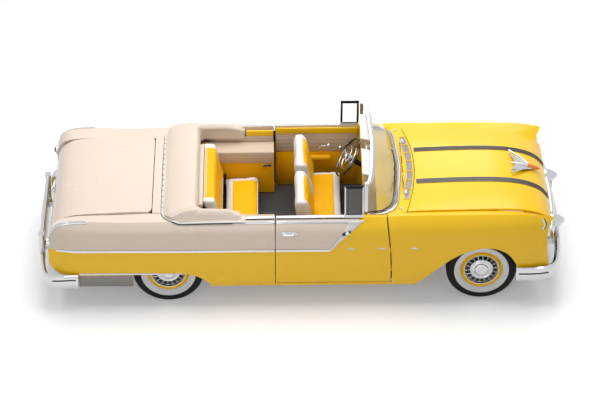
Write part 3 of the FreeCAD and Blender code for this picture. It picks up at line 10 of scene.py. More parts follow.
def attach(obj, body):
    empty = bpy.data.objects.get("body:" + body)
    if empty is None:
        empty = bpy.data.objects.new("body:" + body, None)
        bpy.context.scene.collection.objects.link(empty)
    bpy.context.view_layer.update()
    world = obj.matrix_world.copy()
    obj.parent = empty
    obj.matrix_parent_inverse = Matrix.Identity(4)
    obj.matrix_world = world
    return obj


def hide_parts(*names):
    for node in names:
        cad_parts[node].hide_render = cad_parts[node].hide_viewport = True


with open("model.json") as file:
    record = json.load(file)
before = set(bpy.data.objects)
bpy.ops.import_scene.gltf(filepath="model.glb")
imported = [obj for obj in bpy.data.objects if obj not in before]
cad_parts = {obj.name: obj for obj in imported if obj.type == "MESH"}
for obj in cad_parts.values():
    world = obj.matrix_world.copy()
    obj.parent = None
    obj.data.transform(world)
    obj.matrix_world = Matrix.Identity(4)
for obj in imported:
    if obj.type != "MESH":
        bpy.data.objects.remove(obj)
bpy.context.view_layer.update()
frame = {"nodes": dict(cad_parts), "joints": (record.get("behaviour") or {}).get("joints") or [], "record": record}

bl_info = {
    "name": "Two-tone convertible car",
    "version": (1, 0, 0),
    "blender": (4, 5, 0),
    "location": "View3D > Sidebar > Car",
    "description": "Paint, bright work, wheels, glass, seats and stage of a convertible car",
    "category": "Object",
}

BODY_OF = {
    node: body
    for body, nodes in frame["record"]["behaviour"]["bodies"].items()
    for node in nodes
}
SIDES = {"left": 1, "right": -1}
UP = Vector((0, 0, 1))
ACROSS = Vector((0, 1, 0))
ALONG = Vector((1, 0, 0))
MILLI = 0.001


def linear(code):
    """A colour written as sRGB hex, in the linear values that shaders take."""
    parts = [int(code[place:place + 2], 16) / 255 for place in (0, 2, 4)]
    # The sRGB curve is straight near black and a power above it.
    return tuple(
        part / 12.92 if part <= 0.04045 else ((part + 0.055) / 1.055) ** 2.4 for part in parts
    ) + (1.0,)


class CarColours(bpy.types.PropertyGroup):
    """Colours of the car's finishes."""

    body: bpy.props.FloatVectorProperty(
        name="Lower body", description="Enamel of the hood, fenders and lower sides",
        subtype="COLOR", size=4, min=0, max=1, default=linear("F3C212"))
    upper: bpy.props.FloatVectorProperty(
        name="Upper body", description="Enamel of the trunk, deck and upper rear sides",
        subtype="COLOR", size=4, min=0, max=1, default=linear("DCCBBB"))
    insert: bpy.props.FloatVectorProperty(
        name="Seat inserts", description="Coated cloth in the middle of the seats",
        subtype="COLOR", size=4, min=0, max=1, default=linear("F2B202"))
    border: bpy.props.FloatVectorProperty(
        name="Seat borders", description="Coated cloth round the seats' inserts",
        subtype="COLOR", size=4, min=0, max=1, default=linear("DEDBD6"))
    cover: bpy.props.FloatVectorProperty(
        name="Boot cover", description="Coated cloth over the folded roof",
        subtype="COLOR", size=4, min=0, max=1, default=linear("DBCCBC"))


class CarSizes(bpy.types.PropertyGroup):
    """Sizes of the bright trim and of the stage."""

    strip_height: bpy.props.FloatProperty(
        name="Side strip height", description="Height of the bright strip between the two colours",
        default=0.024, min=0.01, max=0.06, unit="LENGTH")
    strip_depth: bpy.props.FloatProperty(
        name="Side strip depth", description="How far the side strip stands out of the panel",
        default=0.008, min=0.002, max=0.02, unit="LENGTH")
    streak_width: bpy.props.FloatProperty(
        name="Hood streak width", description="Width of each ribbed band on the hood",
        default=0.068, min=0.03, max=0.12, unit="LENGTH")
    whitewall: bpy.props.FloatProperty(
        name="Whitewall radius", description="Outer radius of the pale ring on the tyres",
        default=0.278, min=0.23, max=0.32, unit="LENGTH")
    voxel: bpy.props.FloatProperty(
        name="Cushion grain", description="Voxel size of the cushions before they are filled",
        default=0.014, min=0.006, max=0.03, unit="LENGTH")
    floor_reach: bpy.props.FloatProperty(
        name="Floor reach", description="Side of the studio floor",
        default=160.0, min=20, max=400, unit="LENGTH")


# Finishes


def add_node(tree, kind, links=(), values=(), **settings):
    """One node with its settings, its sockets' values and the links into it."""
    node = tree.nodes.new(kind)
    for name, value in settings.items():
        setattr(node, name, value)
    for name, value in dict(values).items():
        node.inputs[name].default_value = value
    for name, source in dict(links).items():
        tree.links.new(source, node.inputs[name])
    return node


def finish_tree(name, sockets):
    """A new material's tree, its shader with constants on its own sockets, and Object coordinates."""
    material = bpy.data.materials.new(name)
    material.use_nodes = True
    tree = material.node_tree
    shader = tree.nodes["Principled BSDF"]
    for socket, value in sockets.items():
        shader.inputs[socket.replace("_", " ")].default_value = value
    place = add_node(tree, "ShaderNodeTexCoord").outputs["Object"]
    return tree, shader, place


def grain(tree, shader, place, grain_mm, depth_mm, rough, detail=3.0):
    """Uneven roughness and a fine relief of one grain size."""
    noise = add_node(tree, "ShaderNodeTexNoise", {"Vector": place},
                     {"Scale": 1000 / grain_mm, "Detail": detail})
    spread = add_node(tree, "ShaderNodeMapRange", {"Value": noise.outputs[0]},
                      {"To Min": rough[0], "To Max": rough[1]})
    tree.links.new(spread.outputs[0], shader.inputs["Roughness"])
    if depth_mm:
        relief = add_node(tree, "ShaderNodeBump", {"Height": noise.outputs[0]},
                          {"Distance": depth_mm * MILLI, "Strength": 1.0})
        tree.links.new(relief.outputs[0], shader.inputs["Normal"])
    return noise.outputs[0]


def shaded(tree, shader, factor, first, second):
    """Two colours mixed by a factor as the shader's colour."""
    mix = add_node(tree, "ShaderNodeMix", {"Factor": factor}, {6: first, 7: second}, data_type="RGBA")
    tree.links.new(mix.outputs[2], shader.inputs["Base Color"])


def darker(colour, share):
    """The same colour with less light in it."""
    return tuple(part * share for part in colour[:3]) + (1.0,)


def plain_finish(name, colour, grain_mm, depth_mm, rough, share, **sockets):
    """A finish of one colour in two near shades with its own grain."""
    tree, shader, place = finish_tree(name, sockets)
    noise = grain(tree, shader, place, grain_mm, depth_mm, rough)
    shaded(tree, shader, noise, colour, darker(colour, share))


# Where the two colours meet: the strip's height, and the slanted band's foot and slope.
STRIP_Z = 0.700
STRIP_BEND_X = 0.277
BAND_SLOPE = 1.05
# Enamel: its shader's constants, and its grain in millimetres, relief and roughness.
ENAMEL = {"Coat_Weight": 0.12, "Coat_Roughness": 0.04, "IOR": 1.4}
ENAMEL_GRAIN = (260, 0.05, (0.22, 0.3))
# How round a pleat is, which also sets how wide the painted shade in its channels is, and how much of the wire
# screen is hole, painted dark as the shade behind it.
PLEAT_POWER = 0.35
HOLE_LIMIT = 0.55


def two_tone_finish(name, lower, upper):
    """Enamel in two colours that meet under the side strip and the slanted band."""
    tree, shader, place = finish_tree(name, ENAMEL)
    grain(tree, shader, place, *ENAMEL_GRAIN, 1.0)
    split = add_node(tree, "ShaderNodeSeparateXYZ", {0: place})
    slant = add_node(tree, "ShaderNodeMath", {0: split.outputs["X"]},
                     {1: BAND_SLOPE, 2: STRIP_Z - BAND_SLOPE * STRIP_BEND_X},
                     operation="MULTIPLY_ADD").outputs[0]
    rise = add_node(tree, "ShaderNodeMath", {0: split.outputs["Z"], 1: slant},
                    operation="SUBTRACT").outputs[0]
    over = [add_node(tree, "ShaderNodeMath", {0: value}, {1: limit}, operation="GREATER_THAN").outputs[0]
            for value, limit in ((split.outputs["Z"], STRIP_Z), (rise, 0.0))]
    both = add_node(tree, "ShaderNodeMath", dict(enumerate(over)), operation="MULTIPLY").outputs[0]
    shaded(tree, shader, both, lower, upper)


def lobes(tree, value, pitch):
    """Rounded waves of one pitch, from 0 to 1."""
    wave = add_node(tree, "ShaderNodeMath", {0: value}, {1: math.pi / pitch}, operation="MULTIPLY")
    for operation in ("SINE", "ABSOLUTE"):
        wave = add_node(tree, "ShaderNodeMath", {0: wave.outputs[0]}, operation=operation)
    return wave.outputs[0]


def pleated_finish(name, colour, pitch, axis, depth_mm):
    """Coated cloth sewn in narrow channels along one direction, darkened in the channels as painted shade."""
    tree, shader, place = finish_tree(name, {"IOR": 1.5, "Specular_IOR_Level": 0.35})
    noise = add_node(tree, "ShaderNodeTexNoise", {"Vector": place}, {"Scale": 400, "Detail": 4.0})
    split = add_node(tree, "ShaderNodeSeparateXYZ", {0: place})
    rounded = add_node(tree, "ShaderNodeMath", {0: lobes(tree, split.outputs[axis], pitch)},
                       {1: PLEAT_POWER}, operation="POWER").outputs[0]
    relief = add_node(tree, "ShaderNodeBump", {"Height": rounded},
                      {"Distance": depth_mm * MILLI, "Strength": 1.0})
    fine = add_node(tree, "ShaderNodeBump", {"Height": noise.outputs[0], "Normal": relief.outputs[0]},
                    {"Distance": 0.1 * MILLI, "Strength": 0.6})
    tree.links.new(fine.outputs[0], shader.inputs["Normal"])
    # Painted shade: the colour goes darker in each channel between the pleats.
    shaded(tree, shader, rounded, darker(colour, 0.72), colour)
    spread = add_node(tree, "ShaderNodeMapRange", {"Value": noise.outputs[0]},
                      {"To Min": 0.4, "To Max": 0.55})
    tree.links.new(spread.outputs[0], shader.inputs["Roughness"])


def mesh_finish(name, colour, pitch):
    """Woven wire screen with its holes painted dark as the shade behind them."""
    tree, shader, place = finish_tree(name, {"Metallic": 0.8, "Roughness": 0.35})
    split = add_node(tree, "ShaderNodeSeparateXYZ", {0: place})
    waves = [lobes(tree, split.outputs[axis], pitch) for axis in ("X", "Y")]
    hole = add_node(tree, "ShaderNodeMath", dict(enumerate(waves)), operation="MULTIPLY").outputs[0]
    # Painted shade: the holes get a near-black colour for the shade behind the screen.
    dark = add_node(tree, "ShaderNodeMath", {0: hole}, {1: HOLE_LIMIT}, operation="GREATER_THAN")
    shaded(tree, shader, dark.outputs[0], colour, darker(colour, 0.12))


class CAR_OT_finishes(bpy.types.Operator):
    """Makes the materials of the car's finishes"""

    bl_idname = "car.finishes"
    bl_label = "Finishes"

    def execute(self, context):
        colours = context.scene.car_colours
        body, upper = tuple(colours.body), tuple(colours.upper)
        # Enamel on pressed steel: even gloss, with the slow waves of large pressings in its shine.
        plain_finish("yellow enamel", body, *ENAMEL_GRAIN, 0.98, **ENAMEL)
        plain_finish("cream enamel", upper, *ENAMEL_GRAIN, 0.98, **ENAMEL)
        two_tone_finish("two tone enamel", body, upper)
        # Chromium on pressed steel: mirror bright, with faint haze from polishing.
        plain_finish("chrome plate", linear("C9CACC"), 90, 0, (0.05, 0.13), 0.97, Metallic=1.0)
        # Anodised and brushed aluminium: greyer and softer than chrome.
        plain_finish("brushed aluminium", linear("B9B8B6"), 2, 0.02, (0.28, 0.42), 0.9, Metallic=1.0)
        plain_finish("etched aluminium", linear("8F8B87"), 3, 0.05, (0.35, 0.5), 0.85, Metallic=0.9)
        plain_finish("dark aluminium", linear("4C4C4E"), 2, 0.02, (0.34, 0.46), 0.85, Metallic=0.9)
        # Moulded black rubber: matt, with a dusty bloom.
        plain_finish("black rubber", linear("0B0C0D"), 7, 0.15, (0.55, 0.75), 0.7, Specular_IOR_Level=0.25)
        plain_finish("white rubber", linear("DCDDDD"), 9, 0.1, (0.5, 0.62), 0.94, Specular_IOR_Level=0.35)
        # Satin black chassis paint: dull, with road film.
        plain_finish("chassis black", linear("17181A"), 30, 0.2, (0.5, 0.7), 0.7, Specular_IOR_Level=0.4)
        # Cast iron under engine paint.
        plain_finish("cast iron", linear("4C4F50"), 4, 0.4, (0.5, 0.7), 0.75, Metallic=0.6)
        # Mild steel pipe gone dull with heat.
        plain_finish("heated steel", linear("7A736A"), 18, 0.1, (0.4, 0.6), 0.7, Metallic=0.8)
        # Gloss phenolic plastic of the steering wheel's rim.
        plain_finish("black phenolic", linear("0D0D0E"), 40, 0.02, (0.12, 0.2), 0.8, Coat_Weight=0.5)
        # Gloss black paint of sight shields; it is also painted shade on the sheet behind the grille and in the
        # headlamp hoods' gaps, and painted reflection and shade on the bumpers' dark lines.
        plain_finish("black enamel", linear("101012"), 60, 0.05, (0.3, 0.4), 0.8)
        # Coated cloth (vinyl) on seats and cover: soft grained skin.
        vinyl = {"IOR": 1.4, "Specular_IOR_Level": 0.25}
        plain_finish("white vinyl", tuple(colours.border), 1.6, 0.12, (0.42, 0.55), 0.96, **vinyl)
        plain_finish("cream vinyl", tuple(colours.cover), 1.6, 0.12, (0.45, 0.6), 0.95, **vinyl)
        plain_finish("brown vinyl", linear("947B54"), 1.6, 0.12, (0.5, 0.62), 0.9, **vinyl)
        plain_finish("tan vinyl", linear("CDB9A2"), 1.6, 0.12, (0.45, 0.6), 0.94, **vinyl)
        plain_finish("yellow vinyl", tuple(colours.insert), 1.6, 0.12, (0.4, 0.52), 0.95, **vinyl)
        pleated_finish("tan pleats", linear("CDB9A2"), 0.045, "Z", 2.5)
        # Cut pile carpet: soft and dark, with tufts.
        plain_finish("carpet", linear("3B3837"), 5, 2.0, (0.9, 1.0), 0.45, Sheen_Weight=0.4)
        # Woven screen of the air intake, with painted shade in its holes.
        mesh_finish("wire screen", linear("A5A49C"), 0.012)
        # Clear laminated glass: hardly any colour.
        plain_finish("window glass", linear("F3F7F4"), 300, 0, (0.0, 0.01), 0.99,
                     Transmission_Weight=1.0, IOR=1.5)
        plain_finish("lamp glass", linear("F4F6F8"), 60, 0.3, (0.02, 0.06), 0.97,
                     Transmission_Weight=0.85, IOR=1.5)
        # Moulded acrylic lenses.
        plain_finish("red acrylic", linear("6E0A0E"), 9, 0.5, (0.12, 0.2), 0.6, Coat_Weight=0.6)
        plain_finish("amber acrylic", linear("EE7A16"), 14, 0.2, (0.1, 0.18), 0.8, Coat_Weight=0.6)
        return {"FINISHED"}


# Modelling by hand


def finish(name):
    """A finish by its name."""
    return bpy.data.materials[name]


def only(piece):
    """Selects one piece alone."""
    bpy.ops.object.select_all(action="DESELECT")
    piece.select_set(True)
    bpy.context.view_layer.objects.active = piece


def edit(piece, mode="FACE"):
    """Opens one piece for editing with everything selected."""
    only(piece)
    bpy.ops.object.mode_set(mode="EDIT")
    bpy.ops.mesh.select_mode(type=mode)
    bpy.ops.mesh.select_all(action="SELECT")


def close():
    """Back to whole objects."""
    bpy.ops.object.mode_set(mode="OBJECT")


def pick(piece, test):
    """Opens a piece with the faces that pass a test selected."""
    only(piece)
    mesh = piece.data
    for group in (mesh.vertices, mesh.edges, mesh.polygons):
        group.foreach_set("select", [False] * len(group))
    mesh.polygons.foreach_set("select", [bool(test(face)) for face in mesh.polygons])
    bpy.context.tool_settings.mesh_select_mode = (False, False, True)
    bpy.ops.object.mode_set(mode="EDIT")


def applied(piece, kind, **settings):
    """Adds a modifier and applies it."""
    only(piece)
    modifier = piece.modifiers.new(kind.title(), kind)
    for name, value in settings.items():
        setattr(modifier, name, value)
    bpy.ops.object.modifier_apply(modifier=modifier.name)
    return piece


def cleaned(piece, distance=0.02 * MILLI):
    """Doubles merged and faces turned outwards."""
    edit(piece)
    bpy.ops.mesh.remove_doubles(threshold=distance)
    bpy.ops.mesh.normals_make_consistent(inside=False)
    close()
    return piece


def rounded_shade(piece, angle=32):
    """Smooth shading that keeps real edges."""
    only(piece)
    bpy.ops.object.shade_smooth_by_angle(angle=math.radians(angle))
    return piece


def painted(piece, *materials):
    """Gives a piece its finishes in place of those it has."""
    piece.data.materials.clear()
    for material in materials:
        piece.data.materials.append(finish(material))
    return piece


def named(name, *materials):
    """Names the object just added and gives it its finishes."""
    piece = bpy.context.object
    piece.name = name
    piece.data.name = name
    bpy.ops.object.transform_apply(location=True, rotation=True, scale=True)
    return painted(piece, *materials)


def joined(name, pieces):
    """Several meshes as one piece."""
    bpy.ops.object.select_all(action="DESELECT")
    for piece in pieces:
        piece.select_set(True)
    bpy.context.view_layer.objects.active = pieces[0]
    if len(pieces) > 1:
        bpy.ops.object.join()
    pieces[0].name = name
    pieces[0].data.name = name
    return pieces[0]


def fitted(piece, body):
    """Rides a finished piece on its body."""
    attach(piece, body)
    return piece


def smooth_copy(node, name, *materials):
    """A copy of a solid's mesh with its loose triangles merged."""
    piece = bpy.data.objects.new(name, frame["nodes"][node].data.copy())
    piece.data.name = name
    bpy.context.scene.collection.objects.link(piece)
    painted(piece, *materials)
    for face in piece.data.polygons:
        face.material_index = 0
    cleaned(piece)
    edit(piece)
    bpy.ops.mesh.customdata_custom_splitnormals_clear()
    close()
    return piece


def dressed(node, name, *materials, choose=None, angle=32):
    """A smooth copy of a solid in its finish, which stands for it. choose gives a face's finish."""
    piece = smooth_copy(node, name, *materials)
    if choose:
        for face in piece.data.polygons:
            face.material_index = choose(face)
    rounded_shade(piece, angle)
    fitted(piece, BODY_OF[node])
    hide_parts(node)
    return piece


def block(name, low, high, material, edge=0.004, segments=2):
    """A box between two corners with rounded edges."""
    low, high = Vector(low), Vector(high)
    bpy.ops.object.select_all(action="DESELECT")
    bpy.ops.mesh.primitive_cube_add(size=1, location=(low + high) / 2, scale=high - low)
    piece = named(name, material)
    if edge:
        applied(piece, "BEVEL", width=edge, segments=segments, limit_method="ANGLE")
    return rounded_shade(piece)


def spun(name, profile, centre, outward, material, steps=48):
    """A profile of (radius, along) points drawn from one point and spun about an axis across the car."""
    centre = Vector(centre)
    bpy.ops.object.select_all(action="DESELECT")
    bpy.ops.mesh.primitive_plane_add(size=0.001, location=(0, 0, 0))
    piece = named(name, material)
    edit(piece, "VERT")
    bpy.ops.mesh.merge(type="CENTER")
    places = [Vector((0, along, radius)) for radius, along in profile]
    bpy.ops.transform.translate(value=places[0])
    for before, after in zip(places, places[1:]):
        bpy.ops.mesh.extrude_vertices_move(TRANSFORM_OT_translate={"value": after - before})
    bpy.ops.mesh.select_all(action="SELECT")
    bpy.ops.mesh.spin(steps=steps, angle=math.tau, center=(0, 0, 0), axis=(0, 1, 0))
    close()
    outward = Vector(outward).normalized()
    turn = Vector((0, 1, 0)).rotation_difference(outward).to_matrix().to_4x4()
    if outward.y < -0.99:
        turn = Matrix.Rotation(math.pi, 4, "Z")
    piece.data.transform(Matrix.Translation(centre) @ turn)
    cleaned(piece, 0.04 * MILLI)
    return rounded_shade(piece)


def curved(points, count=8, closed=False):
    """A smooth run through given points."""
    points = [Vector(point) for point in points]
    size = len(points)
    result = []
    for index in range(size if closed else size - 1):
        if closed:
            a, b, c, d = (points[(index + step) % size] for step in (-1, 0, 1, 2))
        else:
            b, c = points[index], points[index + 1]
            a = points[index - 1] if index else b * 2 - c
            d = points[index + 2] if index + 2 < size else c * 2 - b
        for step in range(count):
            t = step / count
            result.append(0.5 * ((2 * b) + (c - a) * t + (2 * a - 5 * b + 4 * c - d) * t * t
                                 + (3 * b - a - 3 * c + d) * t ** 3))
    return result if closed else result + [points[-1]]


def wire(name, points, radius, material, closed=False, sides=2):
    """A round bar bent along points."""
    curve = bpy.data.curves.new(name, "CURVE")
    curve.dimensions = "3D"
    curve.bevel_depth = radius
    curve.bevel_resolution = sides
    curve.use_fill_caps = True
    spline = curve.splines.new("POLY")
    spline.points.add(len(points) - 1)
    for spot, point in zip(spline.points, points):
        spot.co = (*point, 1)
    spline.use_cyclic_u = closed
    piece = bpy.data.objects.new(name, curve)
    bpy.context.scene.collection.objects.link(piece)
    only(piece)
    bpy.ops.object.convert(target="MESH")
    piece = painted(bpy.context.object, material)
    cleaned(piece)
    return rounded_shade(piece, 50)


def sheet_between(name, rows, material):
    """A grid whose rows of points are placed one after another."""
    tall, wide = len(rows), len(rows[0])
    bpy.ops.object.select_all(action="DESELECT")
    bpy.ops.mesh.primitive_grid_add(x_subdivisions=wide - 1, y_subdivisions=tall - 1, size=1)
    piece = named(name, material)
    for index, vertex in enumerate(piece.data.vertices):
        vertex.co = rows[index // wide][index % wide]
    piece.data.update()
    return piece


def on_surface(piece, panel, offset):
    """Lays a sheet on a panel's nearest outside."""
    return applied(piece, "SHRINKWRAP", target=panel, wrap_method="NEAREST_SURFACEPOINT",
                   wrap_mode="ABOVE_SURFACE", offset=offset)


def facing(piece, direction):
    """Turns a sheet's faces towards a direction."""
    total = sum((face.normal * face.area for face in piece.data.polygons), Vector())
    if total.dot(Vector(direction)) < 0:
        edit(piece)
        bpy.ops.mesh.flip_normals()
        close()
    return piece


def raised(piece, height, edge):
    """Gives a laid sheet its thickness outwards and rounds its edges."""
    applied(piece, "SOLIDIFY", thickness=height, offset=1)
    if edge:
        applied(piece, "BEVEL", width=edge, segments=2, limit_method="ANGLE", angle_limit=math.radians(50))
    return rounded_shade(piece, 40)


def rows_along(path, across, wide):
    """Rows of points for a strip along a path: across is one direction or one per point."""
    if isinstance(across, Vector):
        across = [across] * len(path)
    return [[point + side * share for point, side in zip(path, across)] for share in wide]


def even(path, count):
    """The same path with evenly spaced points."""
    lengths = [0.0]
    for a, b in zip(path, path[1:]):
        lengths.append(lengths[-1] + (b - a).length)
    result, index = [], 0
    for step in range(count + 1):
        goal = lengths[-1] * step / count
        while index < len(path) - 2 and lengths[index + 1] < goal:
            index += 1
        span = lengths[index + 1] - lengths[index] or 1
        result.append(path[index].lerp(path[index + 1], (goal - lengths[index]) / span))
    return result


def moulding(name, panel, path, across, width, height, material, outward, edge=None):
    """A bright strip of one width laid along a panel."""
    rows = rows_along(path, across, [-width / 2, -width / 6, width / 6, width / 2])
    piece = facing(sheet_between(name, rows, material), outward)
    on_surface(piece, panel, 0.0004)
    return raised(piece, height, edge if edge is not None else min(height, width) * 0.45)


def mesh_tree(piece):
    """The faces of a piece, sorted for rays."""
    return BVHTree.FromPolygons([vertex.co.copy() for vertex in piece.data.vertices],
                                [tuple(face.vertices) for face in piece.data.polygons])


PANEL_TREES = {}


def panel_tree(panel):
    """A panel's tree, made once."""
    if panel.name not in PANEL_TREES:
        PANEL_TREES[panel.name] = mesh_tree(panel)
    return PANEL_TREES[panel.name]


def surface_hit(panel, origin, direction):
    """Where a ray first meets a panel."""
    spot = panel_tree(panel).ray_cast(Vector(origin), Vector(direction).normalized())[0]
    if spot is None:
        raise ValueError(f"nothing of {panel.name} lies under {tuple(origin)}")
    return spot


# Rays start this far from the car's middle, and this high.
BESIDE = 1.3
OVERHEAD = 1.5
DOWN = Vector((0, 0, -1))


def on_side(panel, side, x, z):
    """The panel's outside at one place along and up."""
    return surface_hit(panel, (x, side * BESIDE, z), (0, -side, 0))


def on_top(panel, x, y):
    """The panel's top at one place along and across."""
    return surface_hit(panel, (x, y, OVERHEAD), DOWN)


# Body panels


class CAR_OT_panels(bpy.types.Operator):
    """Paints the body panels as smooth pressings"""

    bl_idname = "car.panels"
    bl_label = "Body panels"

    def execute(self, context):
        for side in SIDES:
            dressed(f"fender_{side}", f"front_fender_{side}", "yellow enamel")
            dressed(f"door_{side}", f"door_shell_{side}", "two tone enamel")
            dressed(f"quarter_{side}", f"rear_quarter_{side}", "two tone enamel")
        dressed("hood", "hood_panel", "yellow enamel", angle=40)
        dressed("cowl", "cowl_panel", "yellow enamel")
        dressed("nose_panel", "nose_surround", "yellow enamel")
        dressed("rockers", "rocker_panels", "yellow enamel")
        dressed("trunk_lid", "trunk_panel", "cream enamel", angle=40)
        dressed("deck_panel", "rear_deck", "cream enamel")
        dressed("tail_panel", "tail_valance", "yellow enamel")
        return {"FINISHED"}


class CAR_OT_underside(bpy.types.Operator):
    """Finishes the chassis, running gear and engine"""

    bl_idname = "car.underside"
    bl_label = "Underside"

    def execute(self, context):
        plain = {
            "chassis_frame": "chassis black", "front_suspension": "chassis black",
            "rear_axle": "chassis black", "fuel_tank": "heated steel",
            "steering_column": "black phenolic", "engine_block": "cast iron",
            "knuckle_left": "cast iron", "knuckle_right": "cast iron", "exhaust": "heated steel",
        }
        for node, material in plain.items():
            painted(frame["nodes"][node], material)
        dressed("floor_pan", "cabin_floor", "chassis black", "carpet",
                choose=carpeted)
        return {"FINISHED"}


CARPET_X = (-0.95, 1.05)
TOE_BOARD_X = 0.8


def carpeted(face):
    """1 for the faces of the floor that look up in the cabin, and of the toe board."""
    level = face.normal.z > 0.3 and CARPET_X[0] < face.center.x < CARPET_X[1]
    return int(level or face.normal.x < -0.5 and face.center.x > TOE_BOARD_X)


# Wheels

# Profiles are (radius, distance outwards) points in metres from the wheel's middle.
TREAD = [
    (0.3535, 0.0660), (0.3545, 0.0480), (0.3480, 0.0465), (0.3480, 0.0425), (0.3550, 0.0410),
    (0.3550, 0.0180), (0.3480, 0.0165), (0.3480, 0.0125), (0.3550, 0.0110),
]
SIDEWALL = [(0.2120, 0.0660), (0.2160, 0.0800), (0.2340, 0.0900), (0.2600, 0.0955)]
SHOULDER = [
    (0.2940, 0.0972), (0.3100, 0.0950), (0.3240, 0.0905), (0.3250, 0.0880), (0.3290, 0.0870),
    (0.3300, 0.0850), (0.3440, 0.0765), (0.3505, 0.0700),
]
RIM_FRONT = [
    (0.2118, 0.0680), (0.2118, 0.0790), (0.2085, 0.0815), (0.2020, 0.0800), (0.1965, 0.0740), (0.1950,
                                                                                               0.0640),
]
RIM_BACK = [
    (0.1950, 0.0640), (0.1860, 0.0400), (0.1700, 0.0300), (0.1200, 0.0100), (0.0700, 0.0060), (0.0, 0.0060),
    (0.0, -0.0020), (0.0700, -0.0020), (0.1500, -0.0020), (0.1500, -0.0560), (0.1580, -0.0560),
    (0.1600, 0.0000), (0.1830, 0.0200), (0.1900, -0.0300), (0.2040, -0.0640), (0.2110, -0.0720),
    (0.2118, -0.0700), (0.2060, -0.0600), (0.1990, -0.0300), (0.1990, 0.0500), (0.2118, 0.0680),
]
COVER_RING = [
    (0.1945, 0.0660), (0.1940, 0.0800), (0.1900, 0.0830), (0.1860, 0.0800), (0.1820, 0.0835), (0.1770,
                                                                                               0.0835),
    (0.1755, 0.0860), (0.1710, 0.0850), (0.1690, 0.0760), (0.1670, 0.0640), (0.1650, 0.0640), (0.1650,
                                                                                               0.0600),
    (0.1900, 0.0600), (0.1945, 0.0660),
]
COVER_HUB = [
    (0.1160, 0.0600), (0.1180, 0.0720), (0.1150, 0.0800), (0.1080, 0.0840), (0.1000, 0.0835), (0.0960,
                                                                                               0.0800),
    (0.0900, 0.0795), (0.0860, 0.0830), (0.0790, 0.0845), (0.0720, 0.0850), (0.0690, 0.0900),
    (0.0640, 0.0965), (0.0580, 0.1005), (0.0420, 0.1030), (0.0380, 0.1015), (0.0200, 0.1030), (0.0, 0.1035),
]
COVER_BACK = [(0.1670, 0.0600), (0.1500, 0.0440), (0.1100, 0.0440), (0.1100, 0.0620)]
TYRE_STEPS = 96
# The pale ring's raised edge, and the notches at every third step of the shoulder.
RING_EDGE = 0.002
RING_RISE = (0.0970, 0.0958)
NOTCH_ACROSS = (0.049, 0.064)
NOTCH_EVERY = 3
NOTCH_DEPTH = 0.004
# Crossed spokes from the hub to the ring, as (radius, outwards), every second one nearer the eye.
SPOKES = 36
SPOKE_RADIUS = 0.0021
SPOKE_LEAN = 9
SPOKE_HUB = 0.108
SPOKE_DEPTHS = (0.070, 0.076)
SPOKE_END = (0.1675, 0.068)
CHROME_RADIUS = 0.176
DRUM_RADIUS = 0.165


def placed_copy(piece, name, matrix):
    """A copy with its own mesh at another place."""
    only(piece)
    bpy.ops.object.duplicate(linked=False)
    twin = bpy.context.object
    twin.name = name
    twin.data = piece.data.copy()
    twin.data.name = name
    twin.data.transform(matrix)
    return twin


def wheel_places():
    """Where each wheel turns, and whether it faces left or right."""
    return {
        joint["name"].removeprefix("roll_"): Vector(joint["pos_m"])
        for joint in frame["joints"] if joint["name"].startswith("roll_")
    }


def away(face):
    """A face's distance from the wheel's axis."""
    return math.hypot(face.center.x, face.center.z)


def road_tyre(whitewall):
    """Crossply tyre with four tread grooves, notched shoulders and a pale ring."""
    ring = [(whitewall - RING_EDGE, RING_RISE[0]), (whitewall, RING_RISE[1])]
    outer = SIDEWALL + ring + SHOULDER + TREAD
    inner = [(radius, -along) for radius, along in reversed(outer)]
    tyre = spun("tyre", outer + inner, (0, 0, 0), ACROSS, "black rubber", TYRE_STEPS)
    tyre.data.materials.append(finish("white rubber"))
    for face in tyre.data.polygons:
        face.material_index = int(face.center.y > 0.07 and away(face) < whitewall - RING_EDGE - 0.1 * MILLI)

    def notch(face):
        turn = math.atan2(face.center.z, face.center.x) / math.tau * TYRE_STEPS
        inside = NOTCH_ACROSS[0] < abs(face.center.y) < NOTCH_ACROSS[1]
        return inside and math.floor(turn) % NOTCH_EVERY == 0
    pick(tyre, notch)
    bpy.ops.mesh.extrude_region_shrink_fatten(TRANSFORM_OT_shrink_fatten={"value": -NOTCH_DEPTH})
    close()
    return rounded_shade(tyre, 38)


def wire_cover():
    """Bright cover like a wire wheel: a ring, a dished hub and crossed spokes over a dark back."""
    ring = spun("ring", COVER_RING, (0, 0, 0), ACROSS, "yellow enamel", 64)
    ring.data.materials.append(finish("chrome plate"))
    for face in ring.data.polygons:
        face.material_index = int(away(face) < CHROME_RADIUS)
    hub = spun("hub", COVER_HUB, (0, 0, 0), ACROSS, "chrome plate", 48)
    back = spun("back", COVER_BACK, (0, 0, 0), ACROSS, "black enamel", 48)
    parts = [ring, hub, back]
    for index in range(SPOKES):
        odd = index % 2
        turn = math.tau * index / SPOKES
        lean = turn + math.radians(SPOKE_LEAN if odd else -SPOKE_LEAN)
        start = Vector((math.cos(turn) * SPOKE_HUB, SPOKE_DEPTHS[odd], math.sin(turn) * SPOKE_HUB))
        end = Vector((math.cos(lean) * SPOKE_END[0], SPOKE_END[1], math.sin(lean) * SPOKE_END[0]))
        parts.append(wire("spoke", [start, end], SPOKE_RADIUS, "chrome plate", sides=1))
    return joined("cover", parts)


def pressed_rim():
    """Steel rim and drum in body colour."""
    front = spun("rim", RIM_FRONT + RIM_BACK[1:], (0, 0, 0), ACROSS, "yellow enamel", 64)
    front.data.materials.append(finish("cast iron"))
    for face in front.data.polygons:
        face.material_index = int(face.center.y < -MILLI and away(face) < DRUM_RADIUS)
    return rounded_shade(front, 30)


